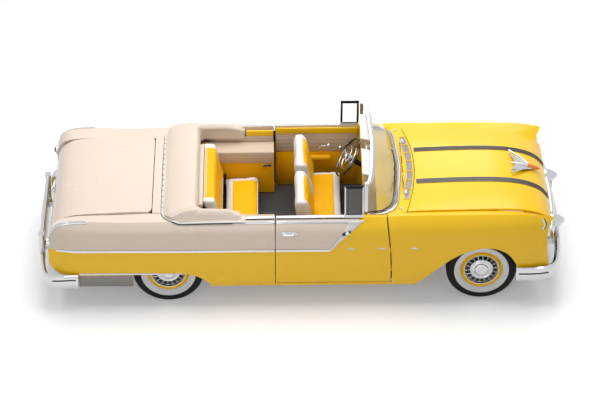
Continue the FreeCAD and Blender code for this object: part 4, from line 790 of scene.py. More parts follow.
class CAR_OT_wheels(bpy.types.Operator):
    """Models one tyre, rim and cover, and copies them to the four wheels"""

    bl_idname = "car.wheels"
    bl_label = "Wheels"

    def execute(self, context):
        masters = {"road_tyre": road_tyre(context.scene.car_sizes.whitewall),
                   "wheel_rim": pressed_rim(), "wheel_cover": wire_cover()}
        for place, centre in wheel_places().items():
            turn = 0 if centre.y > 0 else math.pi
            matrix = Matrix.Translation(centre) @ Matrix.Rotation(turn, 4, "Z")
            for name, master in masters.items():
                piece = placed_copy(master, f"{name}_{place}", matrix)
                node = "tyre" if name == "road_tyre" else "wheel"
                fitted(piece, f"wheel_{place}")
                if name != "wheel_cover":
                    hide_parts(f"{node}_{place}")
        for master in masters.values():
            bpy.data.objects.remove(master)
        return {"FINISHED"}


# Bright work


def side_path(panel, side, points):
    """The panel's outside at points of (along, up)."""
    return [on_side(panel, side, x, z) for x, z in points]


def top_path(panel, points):
    """The panel's top at points of (along, across)."""
    return [on_top(panel, x, y) for x, y in points]


def spread(low, high, count):
    """Evenly spaced values."""
    return [low + (high - low) * index / count for index in range(count + 1)]


# How far the strip, and its part on the quarter and on the door, reach along the car.
STRIP_REAR_X = -2.45
STRIP_QUARTER_X = -0.276
STRIP_DOOR_X = (-0.262, 0.281)
BAND_LEFT = [(0.262, 0.700), (0.345, 0.815), (0.428, 0.925), (0.452, 0.975), (0.452, 0.992)]
BAND_RIGHT = [(0.292, 0.700), (0.372, 0.792), (0.465, 0.885), (0.552, 0.958), (0.604, 0.992)]
# The dark patch on the band, between two heights, and the plain oval on it.
PATCH_Z = (0.868, 0.912)
OVAL_PLACE = (0.447, 0.892)
OVAL = [(0.022, 0.004), (0.021, 0.009), (0.016, 0.012), (0.0, 0.0135)]
# The stars' places along each panel, their height on the car, and their points' reach.
STARS = {"door": (0.481, 0.789), "fender": (1.115,)}
STAR_Z = 0.712
STAR_REACH = (0.060, 0.011, 0.022, 0.011)
STAR_CREST = 0.010
STAR_EDGE = 0.002


class CAR_OT_side_trim(bpy.types.Operator):
    """Lays the side strips, the slanted bands and the small stars on the body"""

    bl_idname = "car.side_trim"
    bl_label = "Side trim"

    def execute(self, context):
        sizes = context.scene.car_sizes
        for name, side in SIDES.items():
            quarter = bpy.data.objects[f"rear_quarter_{name}"]
            door = bpy.data.objects[f"door_shell_{name}"]
            fender = bpy.data.objects[f"front_fender_{name}"]
            outward = (0, side, 0)
            for panel, start, end, body in ((quarter, STRIP_REAR_X, STRIP_QUARTER_X, "root"),
                                            (door, *STRIP_DOOR_X, f"door_{name}")):
                path = side_path(panel, side, [(x, STRIP_Z) for x in spread(start, end, 24)])
                where = "quarter" if body == "root" else "door"
                strip = moulding(f"side_strip_{where}_{name}", panel, path, UP, sizes.strip_height,
                                 sizes.strip_depth, "chrome plate", outward)
                fitted(strip, body)
            self.band(door, name, side)
            for where, panel, body in (("door", door, f"door_{name}"), ("fender", fender, "root")):
                stars = [self.star(panel, side, x) for x in STARS[where]]
                fitted(joined(f"side_stars_{where}_{name}", stars), body)
        return {"FINISHED"}

    def band(self, door, name, side):
        """Wide slanted band that narrows to the strip, with a dark patch and a plain oval on it."""
        left = even([Vector((x, 0, z)) for x, z in BAND_LEFT], 18)
        right = even([Vector((x, 0, z)) for x, z in BAND_RIGHT], 18)
        rows = []
        for share in spread(0, 1, 6):
            line = [a.lerp(b, share) for a, b in zip(left, right)]
            rows.append(side_path(door, side, [(point.x, point.z) for point in line]))
        band = facing(sheet_between(f"slanted_band_{name}", rows, "brushed aluminium"), (0, side, 0))
        on_surface(band, door, 0.0004)
        band.data.materials.append(finish("black enamel"))
        for face in band.data.polygons:
            if PATCH_Z[0] < face.center.z < PATCH_Z[1]:
                face.material_index = 1
        raised(band, 0.006, 0.002)
        spot = on_side(door, side, *OVAL_PLACE)
        oval = spun("oval", OVAL, spot, (0, side, 0), "chrome plate", 24)
        fitted(joined(f"slanted_band_{name}", [band, oval]), f"door_{name}")

    def star(self, panel, side, x):
        """Four-pointed star drawn out along the car."""
        spot = on_side(panel, side, x, STAR_Z)
        bpy.ops.object.select_all(action="DESELECT")
        bpy.ops.mesh.primitive_circle_add(vertices=8, radius=1, fill_type="TRIFAN",
                                          rotation=(math.pi / 2, 0, 0))
        star = named("star", "chrome plate")
        corners = sorted((vertex for vertex in star.data.vertices if vertex.co.length > 0.5),
                         key=lambda vertex: math.atan2(vertex.co.z, vertex.co.x) % math.tau)
        first = min(range(8), key=lambda index: abs(math.atan2(corners[index].co.z, corners[index].co.x)))
        for index in range(8):
            corner = corners[(first + index) % 8]
            corner.co = corner.co.normalized() * STAR_REACH[index % 4]
        for vertex in star.data.vertices:
            height = STAR_CREST if vertex.co.length < MILLI else STAR_EDGE
            vertex.co = spot + Vector((vertex.co.x, side * height, vertex.co.z))
        star.data.update()
        facing(star, (0, side, 0))
        applied(star, "SOLIDIFY", thickness=0.004, offset=-1)
        return star


# The belt mouldings' parts: place across, width, height, finish, and the ends of their run along.
BELT_PARTS = (
    ("outer", 0.872, 0.032, 0.005, "chrome plate", -0.690, 0.615),
    ("slot", 0.849, 0.012, 0.002, "black rubber", -0.56, 0.60),
    ("inner", 0.826, 0.030, 0.005, "chrome plate", -0.56, 0.41),
)
HANDLE_Z = 0.893
HANDLE_PLATE_X = (-0.205, -0.045)
HANDLE_ENDS_X = (-0.196, -0.062)
HANDLE_BUTTON = [(0.013, 0.0), (0.013, 0.014), (0.010, 0.018), (0.0, 0.019)]


class CAR_OT_belt_trim(bpy.types.Operator):
    """Lays the bright belt mouldings and window slots on the doors and quarters, and the door handles"""

    bl_idname = "car.belt_trim"
    bl_label = "Belt trim and handles"

    def execute(self, context):
        for name, side in SIDES.items():
            for panel, body, start, end in (
                    (bpy.data.objects[f"rear_quarter_{name}"], "root", -0.690, -0.278),
                    (bpy.data.objects[f"door_shell_{name}"], f"door_{name}", -0.254, 0.700)):
                where = "quarter" if body == "root" else "door"
                strips = []
                for part, across, width, height, material, rear, front in BELT_PARTS:
                    run = spread(max(start, rear), min(end, front), 16)
                    path = top_path(panel, [(x, side * across) for x in run])
                    strips.append(moulding(part, panel, path, ACROSS, width, height, material, UP))
                fitted(joined(f"belt_moulding_{where}_{name}", strips), body)
            self.handle(name, side)
        return {"FINISHED"}

    def handle(self, name, side):
        """Pull handle with a thumb button on a plain plate."""
        door = bpy.data.objects[f"door_shell_{name}"]
        path = side_path(door, side, [(x, HANDLE_Z) for x in spread(*HANDLE_PLATE_X, 8)])
        plate = moulding("plate", door, path, UP, 0.030, 0.004, "chrome plate", (0, side, 0))
        out = Vector((0, side, 0))
        low, high = side_path(door, side, [(x, HANDLE_Z) for x in HANDLE_ENDS_X])
        points = curved([low, low + out * 0.026 + Vector((0.012, 0, 0)), low.lerp(high, 0.5) + out * 0.034,
                         high + out * 0.026 - Vector((0.03, 0, 0)), high - Vector((0.02, 0, 0))], 6)
        grip = wire("grip", points, 0.0085, "chrome plate", sides=3)
        button = spun("button", HANDLE_BUTTON, high, out, "chrome plate", 20)
        fitted(joined(f"door_handle_{name}", [plate, grip, button]), f"door_{name}")


def hood_rear(y):
    """Where the hood's rear edge lies at a distance across."""
    return 1.150 - 0.105 * (y / 0.752) ** 2


def glass_foot(y):
    """Where the windshield's foot lies at a distance across."""
    return 1.024 - 0.062 * abs(y / 0.654) ** 1.6


# The amber middle of the ornament, and its swept rods: places on the hood and the lift over it.
AMBER_X = 2.305
AMBER_HALF = 0.045
ROD_PLACES = ((2.350, 0.012, 0.020), (2.240, 0.100, 0.034), (2.125, 0.200, 0.040))
ROD_RADIUS = 0.011
# The streaks: distance from the middle, where they start and turn down, and their ribs.
STREAK_Y = 0.284
STREAK_X = (1.158, 2.30)
STREAK_PIVOT = (2.20, 0.85)
STREAK_RIBS = 13
RIB_EVERY = 3
RIB_HEIGHT = 0.004
# The air intake's screen, bars and rim, and the wipers' parts.
INTAKE_HALF = 0.56
INTAKE_STEPS = 36
INTAKE_BARS = (-0.714, -0.428, -0.143, 0.143, 0.428, 0.714)
WIPER_PIVOT = [(0.028, 0.0), (0.027, 0.012), (0.018, 0.022), (0.012, 0.034), (0.0, 0.038)]
WASHER_NOZZLE = [(0.016, 0.0), (0.015, 0.010), (0.008, 0.020), (0.0, 0.024)]


class CAR_OT_hood_trim(bpy.types.Operator):
    """Lays the ribbed streaks and the ornament on the hood, and the vent and wipers on the cowl"""

    bl_idname = "car.hood_trim"
    bl_label = "Hood and cowl trim"

    def execute(self, context):
        hood = bpy.data.objects["hood_panel"]
        for name, side in SIDES.items():
            self.streak(hood, name, side * STREAK_Y, context.scene.car_sizes.streak_width)
        dressed("hood_ornament", "swept_ornament", "chrome plate", "amber acrylic",
                choose=lambda face: int(face.center.x > AMBER_X and abs(face.center.y) < AMBER_HALF),
                angle=40)
        rods = []
        for side in SIDES.values():
            path = [on_top(hood, x, side * y) + UP * lift for x, y, lift in ROD_PLACES]
            rods.append(wire("rod", curved(path, 6), ROD_RADIUS, "chrome plate", sides=3))
        fitted(joined("ornament_rods", rods), "hood")
        self.air_intake(bpy.data.objects["cowl_panel"])
        self.wipers(bpy.data.objects["cowl_panel"])
        return {"FINISHED"}

    def streak(self, hood, name, across, width):
        """Ribbed bright band from the cowl over the nose."""
        path = top_path(hood, [(x, across) for x in spread(*STREAK_X, 30)])
        for lift in spread(62, 4, 14):
            turn = math.radians(lift)
            ray = Vector((math.cos(turn), 0, math.sin(turn)))
            pivot = Vector((STREAK_PIVOT[0], across, STREAK_PIVOT[1]))
            path.append(surface_hit(hood, pivot + ray * 0.6, -ray))
        shares = spread(-0.5, 0.5, STREAK_RIBS)
        rows = rows_along(even(path, 60), ACROSS, [width * share for share in shares])
        band = facing(sheet_between(f"hood_streak_{name}", rows, "dark aluminium"), UP)
        on_surface(band, hood, 0.0006)
        band.data.materials.append(finish("etched aluminium"))
        applied(band, "SOLIDIFY", thickness=0.003, offset=1)

        def rib(face):
            row = math.floor(((face.center.y - across) / width + 0.5) * STREAK_RIBS)
            upright = abs(face.normal.y) < 0.5
            return upright and row % RIB_EVERY == 0 and (face.normal.z > 0.2 or face.normal.x > 0.5)
        pick(band, rib)
        bpy.ops.mesh.extrude_region_shrink_fatten(TRANSFORM_OT_shrink_fatten={"value": RIB_HEIGHT})
        band.active_material_index = 1
        bpy.ops.object.material_slot_assign()
        close()
        fitted(rounded_shade(band, 30), "hood")

    def air_intake(self, cowl):
        """Wire screen in a bright rim, split by thin bars."""
        ends = [(glass_foot(y) + 0.045, hood_rear(y) - 0.016, y)
                for y in spread(-INTAKE_HALF, INTAKE_HALF, INTAKE_STEPS)]
        rows = []
        for share in spread(0, 1, 4):
            rows.append(top_path(cowl, [(rear + (front - rear) * share, y) for rear, front, y in ends]))
        screen = facing(sheet_between("air_intake_screen", rows, "wire screen"), UP)
        on_surface(screen, cowl, 0.0005)
        applied(screen, "SOLIDIFY", thickness=0.003, offset=1)
        fitted(screen, "root")
        lift = Vector((0, 0, 0.004))
        rim = [point + lift for point in rows[0] + list(reversed(rows[-1]))]
        bars = [wire("rim", rim, 0.004, "yellow enamel", closed=True)]
        for share in INTAKE_BARS:
            column = round((share + 1) / 2 * INTAKE_STEPS)
            bars.append(wire("bar", [row[column] + lift for row in rows], 0.006, "yellow enamel"))
        fitted(joined("air_intake_rim", bars), "root")

    def wipers(self, cowl):
        """Pivot, arm and blade on each side, at rest along the glass."""
        parts = []
        for side in SIDES.values():
            foot = on_top(cowl, 1.044, side * 0.46)
            parts.append(spun("pivot", WIPER_PIVOT, foot, UP, "chrome plate", 20))
            start = foot + UP * 0.030
            mid = Vector((1.028, side * 0.30, 1.088))
            end = Vector((1.022, side * 0.15, 1.084))
            parts.append(wire("arm", curved([start, mid, end], 6), 0.004, "chrome plate"))
            blade = [Vector((1.024 - 0.03 * abs(y) ** 2, side * y, 1.077)) for y in spread(0.02, 0.40, 8)]
            parts.append(wire("blade", blade, 0.004, "black rubber"))
            nozzle = on_top(cowl, 0.985, side * 0.705)
            parts.append(spun("nozzle", WASHER_NOZZLE, nozzle, UP, "chrome plate", 16))
        fitted(joined("wipers", parts), "root")


# The dark line painted on each bumper's end, as painted reflection on the front bumper and painted shade under the
# top flange on the rear: where it runs along, and its height on the car.
BUMPER_REFLECTION_AND_SHADE_LINES = {"front": ((2.165, 2.470), 0.408), "rear": ((-2.265, -2.500), 0.372)}
# The stone guards' ribs: their places along and their two ends.
GUARD_X = (-2.215, -1.745)
GUARD_Z = (0.335, 0.400)
GUARD_RIBS = 12
# Rim of the headlamp's hood, and a black strip beside it as painted shade in its gap: place along, width and
# finish.
RIM_STRIPS = ((2.408, 0.022, "chrome plate"), (2.424, 0.011, "black enamel"))
# Lamps: their middles on the left side, and their profiles of (radius, outwards).
HEAD_LAMP = (2.430, 0.778, 0.812)
TAIL_LAMP = (-2.490, 0.828, 0.738)
HEAD_BEZEL = [
    (0.0832, -0.020), (0.0832, 0.030), (0.0810, 0.040), (0.0755, 0.043), (0.0710, 0.040),
    (0.0690, 0.030), (0.0640, 0.005), (0.0480, -0.014), (0.0240, -0.024), (0.0, -0.026),
]
HEAD_LENS = [(0.0688, 0.031), (0.0600, 0.040), (0.0440, 0.047), (0.0240, 0.0515), (0.0, 0.053)]
TAIL_HOUSING = [
    (0.0455, 0.0), (0.0455, 0.034), (0.0480, 0.044), (0.0480, 0.054), (0.0440, 0.060),
    (0.0380, 0.060), (0.0365, 0.052), (0.0, 0.050),
]
TAIL_LENS = [
    (0.0362, 0.050), (0.0362, 0.062), (0.0330, 0.066), (0.0310, 0.064), (0.0270, 0.070),
    (0.0250, 0.068), (0.0200, 0.075), (0.0180, 0.073), (0.0120, 0.079), (0.0100, 0.078), (0.0, 0.081),
]


class CAR_OT_ends(bpy.types.Operator):
    """Finishes the bumpers, the grille and the lamps"""

    bl_idname = "car.ends"
    bl_label = "Bumpers, grille and lamps"

    def execute(self, context):
        bumpers = {where: dressed(f"{where}_bumper", f"{where}_bumper_plated", "chrome plate", angle=38)
                   for where in BUMPER_REFLECTION_AND_SHADE_LINES}
        for name, side in SIDES.items():
            self.lamp_rim(bpy.data.objects[f"front_fender_{name}"], name, side)
            for where, (run, z) in BUMPER_REFLECTION_AND_SHADE_LINES.items():
                # A black strip laid along each bumper's end as painted reflection and shade.
                path = side_path(bumpers[where], side, [(x, z) for x in spread(*run, 16)])
                line = moulding(f"bumper_line_{where}_{name}", bumpers[where], path, UP, 0.016, 0.0015,
                                "black enamel", (0, side, 0), 0)
                fitted(line, "root")
        dressed("grille", "grille_bars", "chrome plate")
        self.ribs(dressed("stone_guards", "stone_guards_bright", "etched aluminium"))
        # A black sheet behind the grille as painted shade for the dark space behind the bars.
        back = block("grille_back", (2.386, -0.60, 0.44), (2.392, 0.60, 0.80), "black enamel", 0)
        fitted(back, "root")
        bezels, lenses, lamps = [], [], []
        for side in SIDES.values():
            centre = (HEAD_LAMP[0], side * HEAD_LAMP[1], HEAD_LAMP[2])
            bezels.append(spun("bezel", HEAD_BEZEL, centre, ALONG, "chrome plate", 40))
            lens = spun("lens", HEAD_LENS, centre, ALONG, "lamp glass", 40)
            lenses.append(applied(lens, "SOLIDIFY", thickness=0.003, offset=-1))
            centre = (TAIL_LAMP[0], side * TAIL_LAMP[1], TAIL_LAMP[2])
            lamps.append(spun("housing", TAIL_HOUSING, centre, -ALONG, "chrome plate", 36))
            lamps.append(spun("lens", TAIL_LENS, centre, -ALONG, "red acrylic", 36))
        piece = fitted(joined("headlamp_bezels", bezels), "root")
        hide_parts("head_lamps")
        fitted(joined("headlamp_lenses", lenses), "root")
        piece = fitted(joined("tail_lamp_units", lamps), "root")
        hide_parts("tail_lamps")
        return {"FINISHED"}

    def ribs(self, guards):
        """Upright ribs pressed in the stone guards."""
        ribs = []
        for side in SIDES.values():
            for x in spread(*GUARD_X, GUARD_RIBS):
                path = side_path(guards, side, [(x, z) for z in spread(*GUARD_Z, 2)])
                ribs.append(moulding("rib", guards, path, ALONG, 0.010, 0.004, "etched aluminium",
                                     (0, side, 0)))
        fitted(joined("stone_guard_ribs", ribs), "root")

    def lamp_rim(self, fender, name, side):
        """Bright rim of the headlamp's hood and a black strip beside it as painted shade in its gap, seen from the
        side.
        """
        strips = []
        heights = spread(0.885, 0.985, 10)
        for x, width, material in RIM_STRIPS:
            path = side_path(fender, side, [(x - 0.02 * ((z - 0.935) / 0.05) ** 2, z) for z in heights])
            strips.append(moulding("strip", fender, path, ALONG, width, 0.004, material, (0, side, 0)))
        fitted(joined(f"lamp_rim_{name}", strips), "root")


class CAR_OT_glass(bpy.types.Operator):
    """Finishes the windshield and the vent windows"""

    bl_idname = "car.glass"
    bl_label = "Glass and frames"

    def execute(self, context):
        dressed("windshield_frame", "windshield_frame_bright", "chrome plate")
        dressed("windshield_glass", "windshield_pane", "window glass")
        for side in SIDES:
            dressed(f"vent_window_{side}", f"vent_window_{side}_bright", "chrome plate", "window glass",
                    "black rubber", choose=pane_face)
        return {"FINISHED"}


# A vent window's pane lies between its bars: along, up, and its faces are larger than a bar's.
PANE_X = (0.4365, 0.5955)
PANE_Z = (1.040, 1.326)
PANE_AREA = 0.006
TOP_BAR_Z = 1.327


def pane_face(face):
    """1 for the faces of a vent window's pane, which lies between its bars, and 2 for its dark top bar."""
    if face.center.z > TOP_BAR_Z:
        return 2
    inside = PANE_X[0] < face.center.x < PANE_X[1] and PANE_Z[0] < face.center.z < PANE_Z[1]
    return int(inside and face.area > PANE_AREA)


# Seats and soft trim


def prism(name, outline, low, high, material, edge, segments=3):
    """A side outline of (along, up) drawn out across the car, with rounded edges."""
    bpy.ops.object.select_all(action="DESELECT")
    bpy.ops.mesh.primitive_circle_add(vertices=len(outline), radius=1, fill_type="NGON")
    piece = named(name, material)
    for vertex, (x, z) in zip(piece.data.vertices, outline):
        vertex.co = (x, low, z)
    edit(piece)
    bpy.ops.mesh.extrude_region_move(TRANSFORM_OT_translate={"value": (0, high - low, 0)})
    close()
    cleaned(piece)
    if edge:
        applied(piece, "BEVEL", width=edge, segments=segments, limit_method="ANGLE")
    return rounded_shade(piece)


PAD_PRESSURE = 4
PAD_STEPS = 20


def filled(piece, voxel, cap, may_move=None):
    """Fills a pad: an even mesh blown up as cloth, each point's way held within a cap."""
    applied(piece, "REMESH", mode="VOXEL", voxel_size=voxel, use_smooth_shade=True)
    start = [vertex.co.copy() for vertex in piece.data.vertices]
    scene = bpy.context.scene
    only(piece)
    cloth = piece.modifiers.new("Filling", "CLOTH")
    cloth.settings.use_pressure = True
    cloth.settings.uniform_pressure_force = PAD_PRESSURE
    cloth.settings.effector_weights.gravity = 0
    cloth.point_cache.frame_start = 1
    cloth.point_cache.frame_end = PAD_STEPS
    for step in range(1, PAD_STEPS + 1):
        scene.frame_set(step)
    bpy.ops.object.modifier_apply(modifier=cloth.name)
    scene.frame_set(1)
    for vertex, before in zip(piece.data.vertices, start):
        move = vertex.co - before
        limit = cap * (may_move(before) if may_move else 1.0)
        if move.length > limit:
            vertex.co = before + move * (limit / move.length)
    piece.data.update()
    applied(piece, "SUBSURF", levels=1)
    only(piece)
    bpy.ops.object.shade_smooth()
    return piece


# A face or point looks a pad's way from this share on, and a seam's ends run this far past its corners.
LOOKS_OUT = 0.35
SEAM_OVERRUN = 0.02


def stitched(piece, seams, width=0.016, depth=0.006):
    """Draws the mesh in along sewn seams; each seam gives a point's distance from it."""
    normals = [vertex.normal.copy() for vertex in piece.data.vertices]
    for vertex, normal in zip(piece.data.vertices, normals):
        near = min(seam(vertex.co, normal) for seam in seams)
        if near < width:
            vertex.co -= normal * depth * (1 - near / width) ** 2
    piece.data.update()
    return piece


def frame_seam(axes, low, high):
    """Distance from the outline of a rectangle on the side that looks along the third axis."""
    first, second, look = axes

    def distance(point, normal):
        if normal.dot(look) < LOOKS_OUT:
            return 1.0
        a, b = point.dot(first), point.dot(second)
        inside_a = low[0] - SEAM_OVERRUN < a < high[0] + SEAM_OVERRUN
        inside_b = low[1] - SEAM_OVERRUN < b < high[1] + SEAM_OVERRUN
        near = 1.0
        if inside_b:
            near = min(near, abs(a - low[0]), abs(a - high[0]))
        if inside_a:
            near = min(near, abs(b - low[1]), abs(b - high[1]))
        return near
    return distance


def inset_faces(piece, axes, low, high):
    """Gives the second finish to the faces within a rectangle that look along the third axis."""
    first, second, look = axes
    for face in piece.data.polygons:
        a, b = face.center.dot(first), face.center.dot(second)
        inside = low[0] < a < high[0] and low[1] < b < high[1]
        face.material_index = int(inside and face.normal.dot(look) > LOOKS_OUT)


def piping(name, piece, axes, low, high, material):
    """A round sewn bead along a rectangle, laid on the pad it belongs to."""
    first, second, look = axes
    corners = [(low[0], low[1]), (high[0], low[1]), (high[0], high[1]), (low[0], high[1])]
    path = []
    for (a0, b0), (a1, b1) in zip(corners, corners[1:] + corners[:1]):
        for share in spread(0, 1, 18)[:-1]:
            path.append((a0 + (a1 - a0) * share, b0 + (b1 - b0) * share))
    tree = mesh_tree(piece)
    points = []
    for a, b in path:
        spot = tree.ray_cast(first * a + second * b + look * 2.0, -look)[0]
        if spot is not None:
            points.append(spot)
    return wire(name, points, 0.0045, material, closed=True)


# The two ways in which an insert is measured and the way it looks, on cushions and on backs.
CUSHION_AXES = (ALONG, ACROSS, UP)
BACK_AXES = (ACROSS, Vector((-0.6, 0, 0.8)), Vector((0.8, 0, 0.6)))
# Side outlines of the pads, as (along, up).
FRONT_CUSHION = [(0.010, 0.462), (0.430, 0.462), (0.432, 0.560), (0.400, 0.578), (0.010, 0.562)]
FRONT_BACK = [(-0.002, 0.614), (0.134, 0.614), (0.034, 1.066), (-0.060, 1.066)]
REAR_CUSHION = [(-0.790, 0.462), (-0.420, 0.462), (-0.420, 0.560), (-0.450, 0.582), (-0.790, 0.560)]
REAR_BACK = [(-0.826, 0.600), (-0.800, 0.590), (-0.896, 1.016), (-1.002, 1.020), (-0.842, 0.640)]
FRONT_HALF = 0.645
REAR_HALF = 0.545
PAD_EDGE = 0.028
PAD_CAP = 0.022


class CAR_OT_seats(bpy.types.Operator):
    """Upholsters the two benches with filled cushions, inserts and piping"""

    bl_idname = "car.seats"
    bl_label = "Seats"

    def execute(self, context):
        voxel = context.scene.car_sizes.voxel
        base = block("front_seat_base", (0.020, -0.600, 0.353), (0.410, 0.600, 0.450), "chassis black",
                     0.01)
        fitted(base, "root")
        piece = self.pad("front_cushion", FRONT_CUSHION, -FRONT_HALF, FRONT_HALF, voxel,
                         CUSHION_AXES, (0.06, -0.55), (0.345, 0.55))
        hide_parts("front_seat")
        for name, side in SIDES.items():
            low, high = sorted((side * 0.022, side * FRONT_HALF))
            inset_low, inset_high = sorted((side * 0.105, side * 0.560))
            piece = self.pad(f"front_back_{name}", FRONT_BACK, low, high, voxel,
                             BACK_AXES, (inset_low, 0.470), (inset_high, 0.818))
            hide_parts("front_seat_backs")
        piece = self.pad("rear_cushion", REAR_CUSHION, -REAR_HALF, REAR_HALF, voxel,
                         CUSHION_AXES, (-0.705, -0.445), (-0.430, 0.445))
        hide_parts("rear_seat")
        piece = self.pad("rear_back", REAR_BACK, -REAR_HALF, REAR_HALF, voxel,
                         BACK_AXES, (-0.450, 0.980), (0.450, 1.398))
        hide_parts("rear_seat")
        apron = block("boot_apron", (-1.034, -REAR_HALF, 0.940), (-0.992, REAR_HALF, 0.986),
                      "cream vinyl", 0.008)
        fitted(apron, "root")
        return {"FINISHED"}

    def pad(self, name, outline, low, high, voxel, axes, inset_low, inset_high):
        """One filled pad with a coloured insert and a bead round it."""
        piece = prism(name, outline, low, high, "white vinyl", PAD_EDGE)
        piece.data.materials.append(finish("yellow vinyl"))
        filled(piece, voxel, PAD_CAP)
        stitched(piece, [frame_seam(axes, inset_low, inset_high)])
        inset_faces(piece, axes, inset_low, inset_high)
        bead = piping("bead", piece, axes, inset_low, inset_high, "white vinyl")
        piece = joined(name, [piece, bead])
        fitted(piece, "root")
        return piece


# The cover in plan: its rear end, its sides and its corners' radius, and the height of its foot.
BOOT_REAR_X = -1.390
BOOT_HALF = 0.863
BOOT_CORNER = 0.200
BOOT_FOOT_Z = 0.985
# The bead round it, in plan: rear end, half width and corner.
BEAD_REAR_X = -1.395
BEAD_HALF = 0.868
BEAD_CORNER = 0.205
STUD = [(0.007, 0.0), (0.0065, 0.003), (0.004, 0.005), (0.0, 0.0055)]


def ramp(value, length):
    """A value over a length, held between 0 and 1."""
    return min(1.0, max(0.0, value / length))


class CAR_OT_boot(bpy.types.Operator):
    """Lays the padded cover over the folded roof, with its bead and snaps"""

    bl_idname = "car.boot"
    bl_label = "Boot cover"

    def execute(self, context):
        piece = smooth_copy("boot_cover", "padded_boot", "cream vinyl")
        filled(piece, context.scene.car_sizes.voxel, 0.020, lambda spot: 1.0 if spot.z > 1.02 else 0.15)
        self.shape(piece)
        stitched(piece, [self.fold], 0.030, 0.012)
        fitted(piece, "root")
        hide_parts("boot_cover")
        self.bead()
        return {"FINISHED"}

    def shape(self, piece):
        """Rounds the rear corners in plan, slopes the rear and rolls the arms down at their ends."""
        for vertex in piece.data.vertices:
            spot = vertex.co
            side = 1 if spot.y > 0 else -1
            centre = Vector((BOOT_REAR_X + BOOT_CORNER, side * (BOOT_HALF - BOOT_CORNER)))
            out = Vector((spot.x, spot.y)) - centre
            if spot.x < centre.x and abs(spot.y) > abs(centre.y) and out.length > BOOT_CORNER:
                out *= BOOT_CORNER / out.length
                spot.x, spot.y = centre.x + out.x, centre.y + out.y
            if spot.z > BOOT_FOOT_Z:
                back = ramp(spot.x - BOOT_REAR_X, 0.30)
                across = ramp(BOOT_HALF - abs(spot.y), 0.10)
                ends = ramp(-0.565 - spot.x, 0.16)
                rise = min(math.sin(back * math.pi / 2), math.sin(across * math.pi / 2))
                rise = 0.22 + 0.78 * min(rise, 0.35 + 0.65 * ends)
                spot.z = BOOT_FOOT_Z + (spot.z - BOOT_FOOT_Z) * rise
        piece.data.update()

    def fold(self, point, normal):
        """Distance from the mitred folds at the two corners."""
        if normal.z < 0.2:
            return 1.0
        share = (point.x + 1.030) / -0.300
        if not 0.0 < share < 1.0:
            return 1.0
        return abs(abs(point.y) - (0.735 + 0.085 * share)) * 0.9

    def bead(self):
        """Bright bead round the cover's foot, with press studs along the rear."""
        corner_x, corner_y = BEAD_REAR_X + BEAD_CORNER, BEAD_HALF - BEAD_CORNER
        plan = [(x, BEAD_HALF) for x in (-0.575, -0.80, -1.00, corner_x)]
        for turn in spread(10, 80, 6):
            angle = math.radians(turn)
            plan.append((corner_x - BEAD_CORNER * math.sin(angle),
                         corner_y + BEAD_CORNER * math.cos(angle)))
        plan += [(BEAD_REAR_X, y) for y in (corner_y, 0.45, 0.22, 0.0)]
        panels = [bpy.data.objects[name] for name in ("rear_quarter_left", "rear_deck")]
        points = []
        for x, y in plan:
            heights = [height for height in (self.under(panel, x, y) for panel in panels) if height]
            points.append(Vector((x, y, max(heights) + 0.004 if heights else BOOT_FOOT_Z)))
        points += [Vector((p.x, -p.y, p.z)) for p in reversed(points[:-1])]
        path = even(curved(points, 4), 120)
        bead = wire("boot_bead", path, 0.010, "white vinyl", sides=3)
        fitted(bead, "root")
        outside = []
        for point in path:
            out = Vector((point.x + 0.9, point.y * 0.6, 0)).normalized()
            outside.append(point + out * 0.011 - UP * 0.005)
        fitted(wire("boot_edge", outside, 0.005, "black rubber"), "root")
        studs = []
        for y in spread(-0.62, 0.62, 13):
            near = min(path, key=lambda point: (point.x + 1.403) ** 2 + (point.y - y) ** 2)
            studs.append(spun("stud", STUD, near + UP * 0.0085, UP, "dark aluminium", 12))
        fitted(joined("boot_studs", studs), "root")

    def under(self, panel, x, y):
        """Height of a panel below one place, or None."""
        spot = panel_tree(panel).ray_cast(Vector((x, y, OVERHEAD)), DOWN)[0]
        return spot.z if spot is not None and spot.z > 0.90 else None


def side_block(name, side, x, y, z, material, edge=0.004, segments=2):
    """A block whose places across are given for the left side."""
    low, high = sorted((side * y[0], side * y[1]))
    return block(name, (x[0], low, z[0]), (x[1], high, z[1]), material, edge, segments)


# Blocks of the trim: name, ranges along, outwards and up, finish, rounding, its steps and slot.
DOOR_X = (-0.250, 0.600)
DOOR_BLOCKS = (
    ("door_rail", DOOR_X, (0.784, 0.8026), (0.940, 1.012), "yellow enamel", 0.008, 3, "paint_yellow"),
    ("door_pleats", DOOR_X, (0.791, 0.8027), (0.722, 0.940), "tan pleats", 0.003, 2, "upholstery"),
    ("door_lower", DOOR_X, (0.791, 0.8027), (0.330, 0.716), "yellow vinyl", 0.003, 2, "upholstery"),
    ("door_bead", DOOR_X, (0.7885, 0.8027), (0.716, 0.722), "chrome plate", 0.002, 2, "chrome"),
)
QUARTER_BLOCKS = (
    ("door_weatherstrip", (-0.290, -0.257), (0.791, 0.800), (0.330, 0.975), "black rubber", 0.003, 2,
     "frame_black"),
    ("quarter_rail", (-0.560, -0.277), (0.766, 0.790), (0.925, 0.992), "yellow enamel", 0.010, 3,
     "paint_yellow"),
    ("quarter_pleats", (-0.900, -0.277), (0.762, 0.768), (0.862, 0.926), "tan pleats", 0.002, 2,
     "upholstery"),
)
UPPER_X = (-0.990, -0.275)
# Winder and pull of a door, as the places along and up of their hub and of their knob.
DOOR_LEVERS = (((0.420, 0.760), (0.500, 0.835)), ((0.300, 0.790), (0.210, 0.800)))
LEVER_HUB = [(0.024, 0.0), (0.022, 0.008), (0.014, 0.016), (0.0, 0.018)]
LEVER_KNOB = [(0.011, 0.0), (0.013, 0.010), (0.012, 0.022), (0.006, 0.028), (0.0, 0.029)]


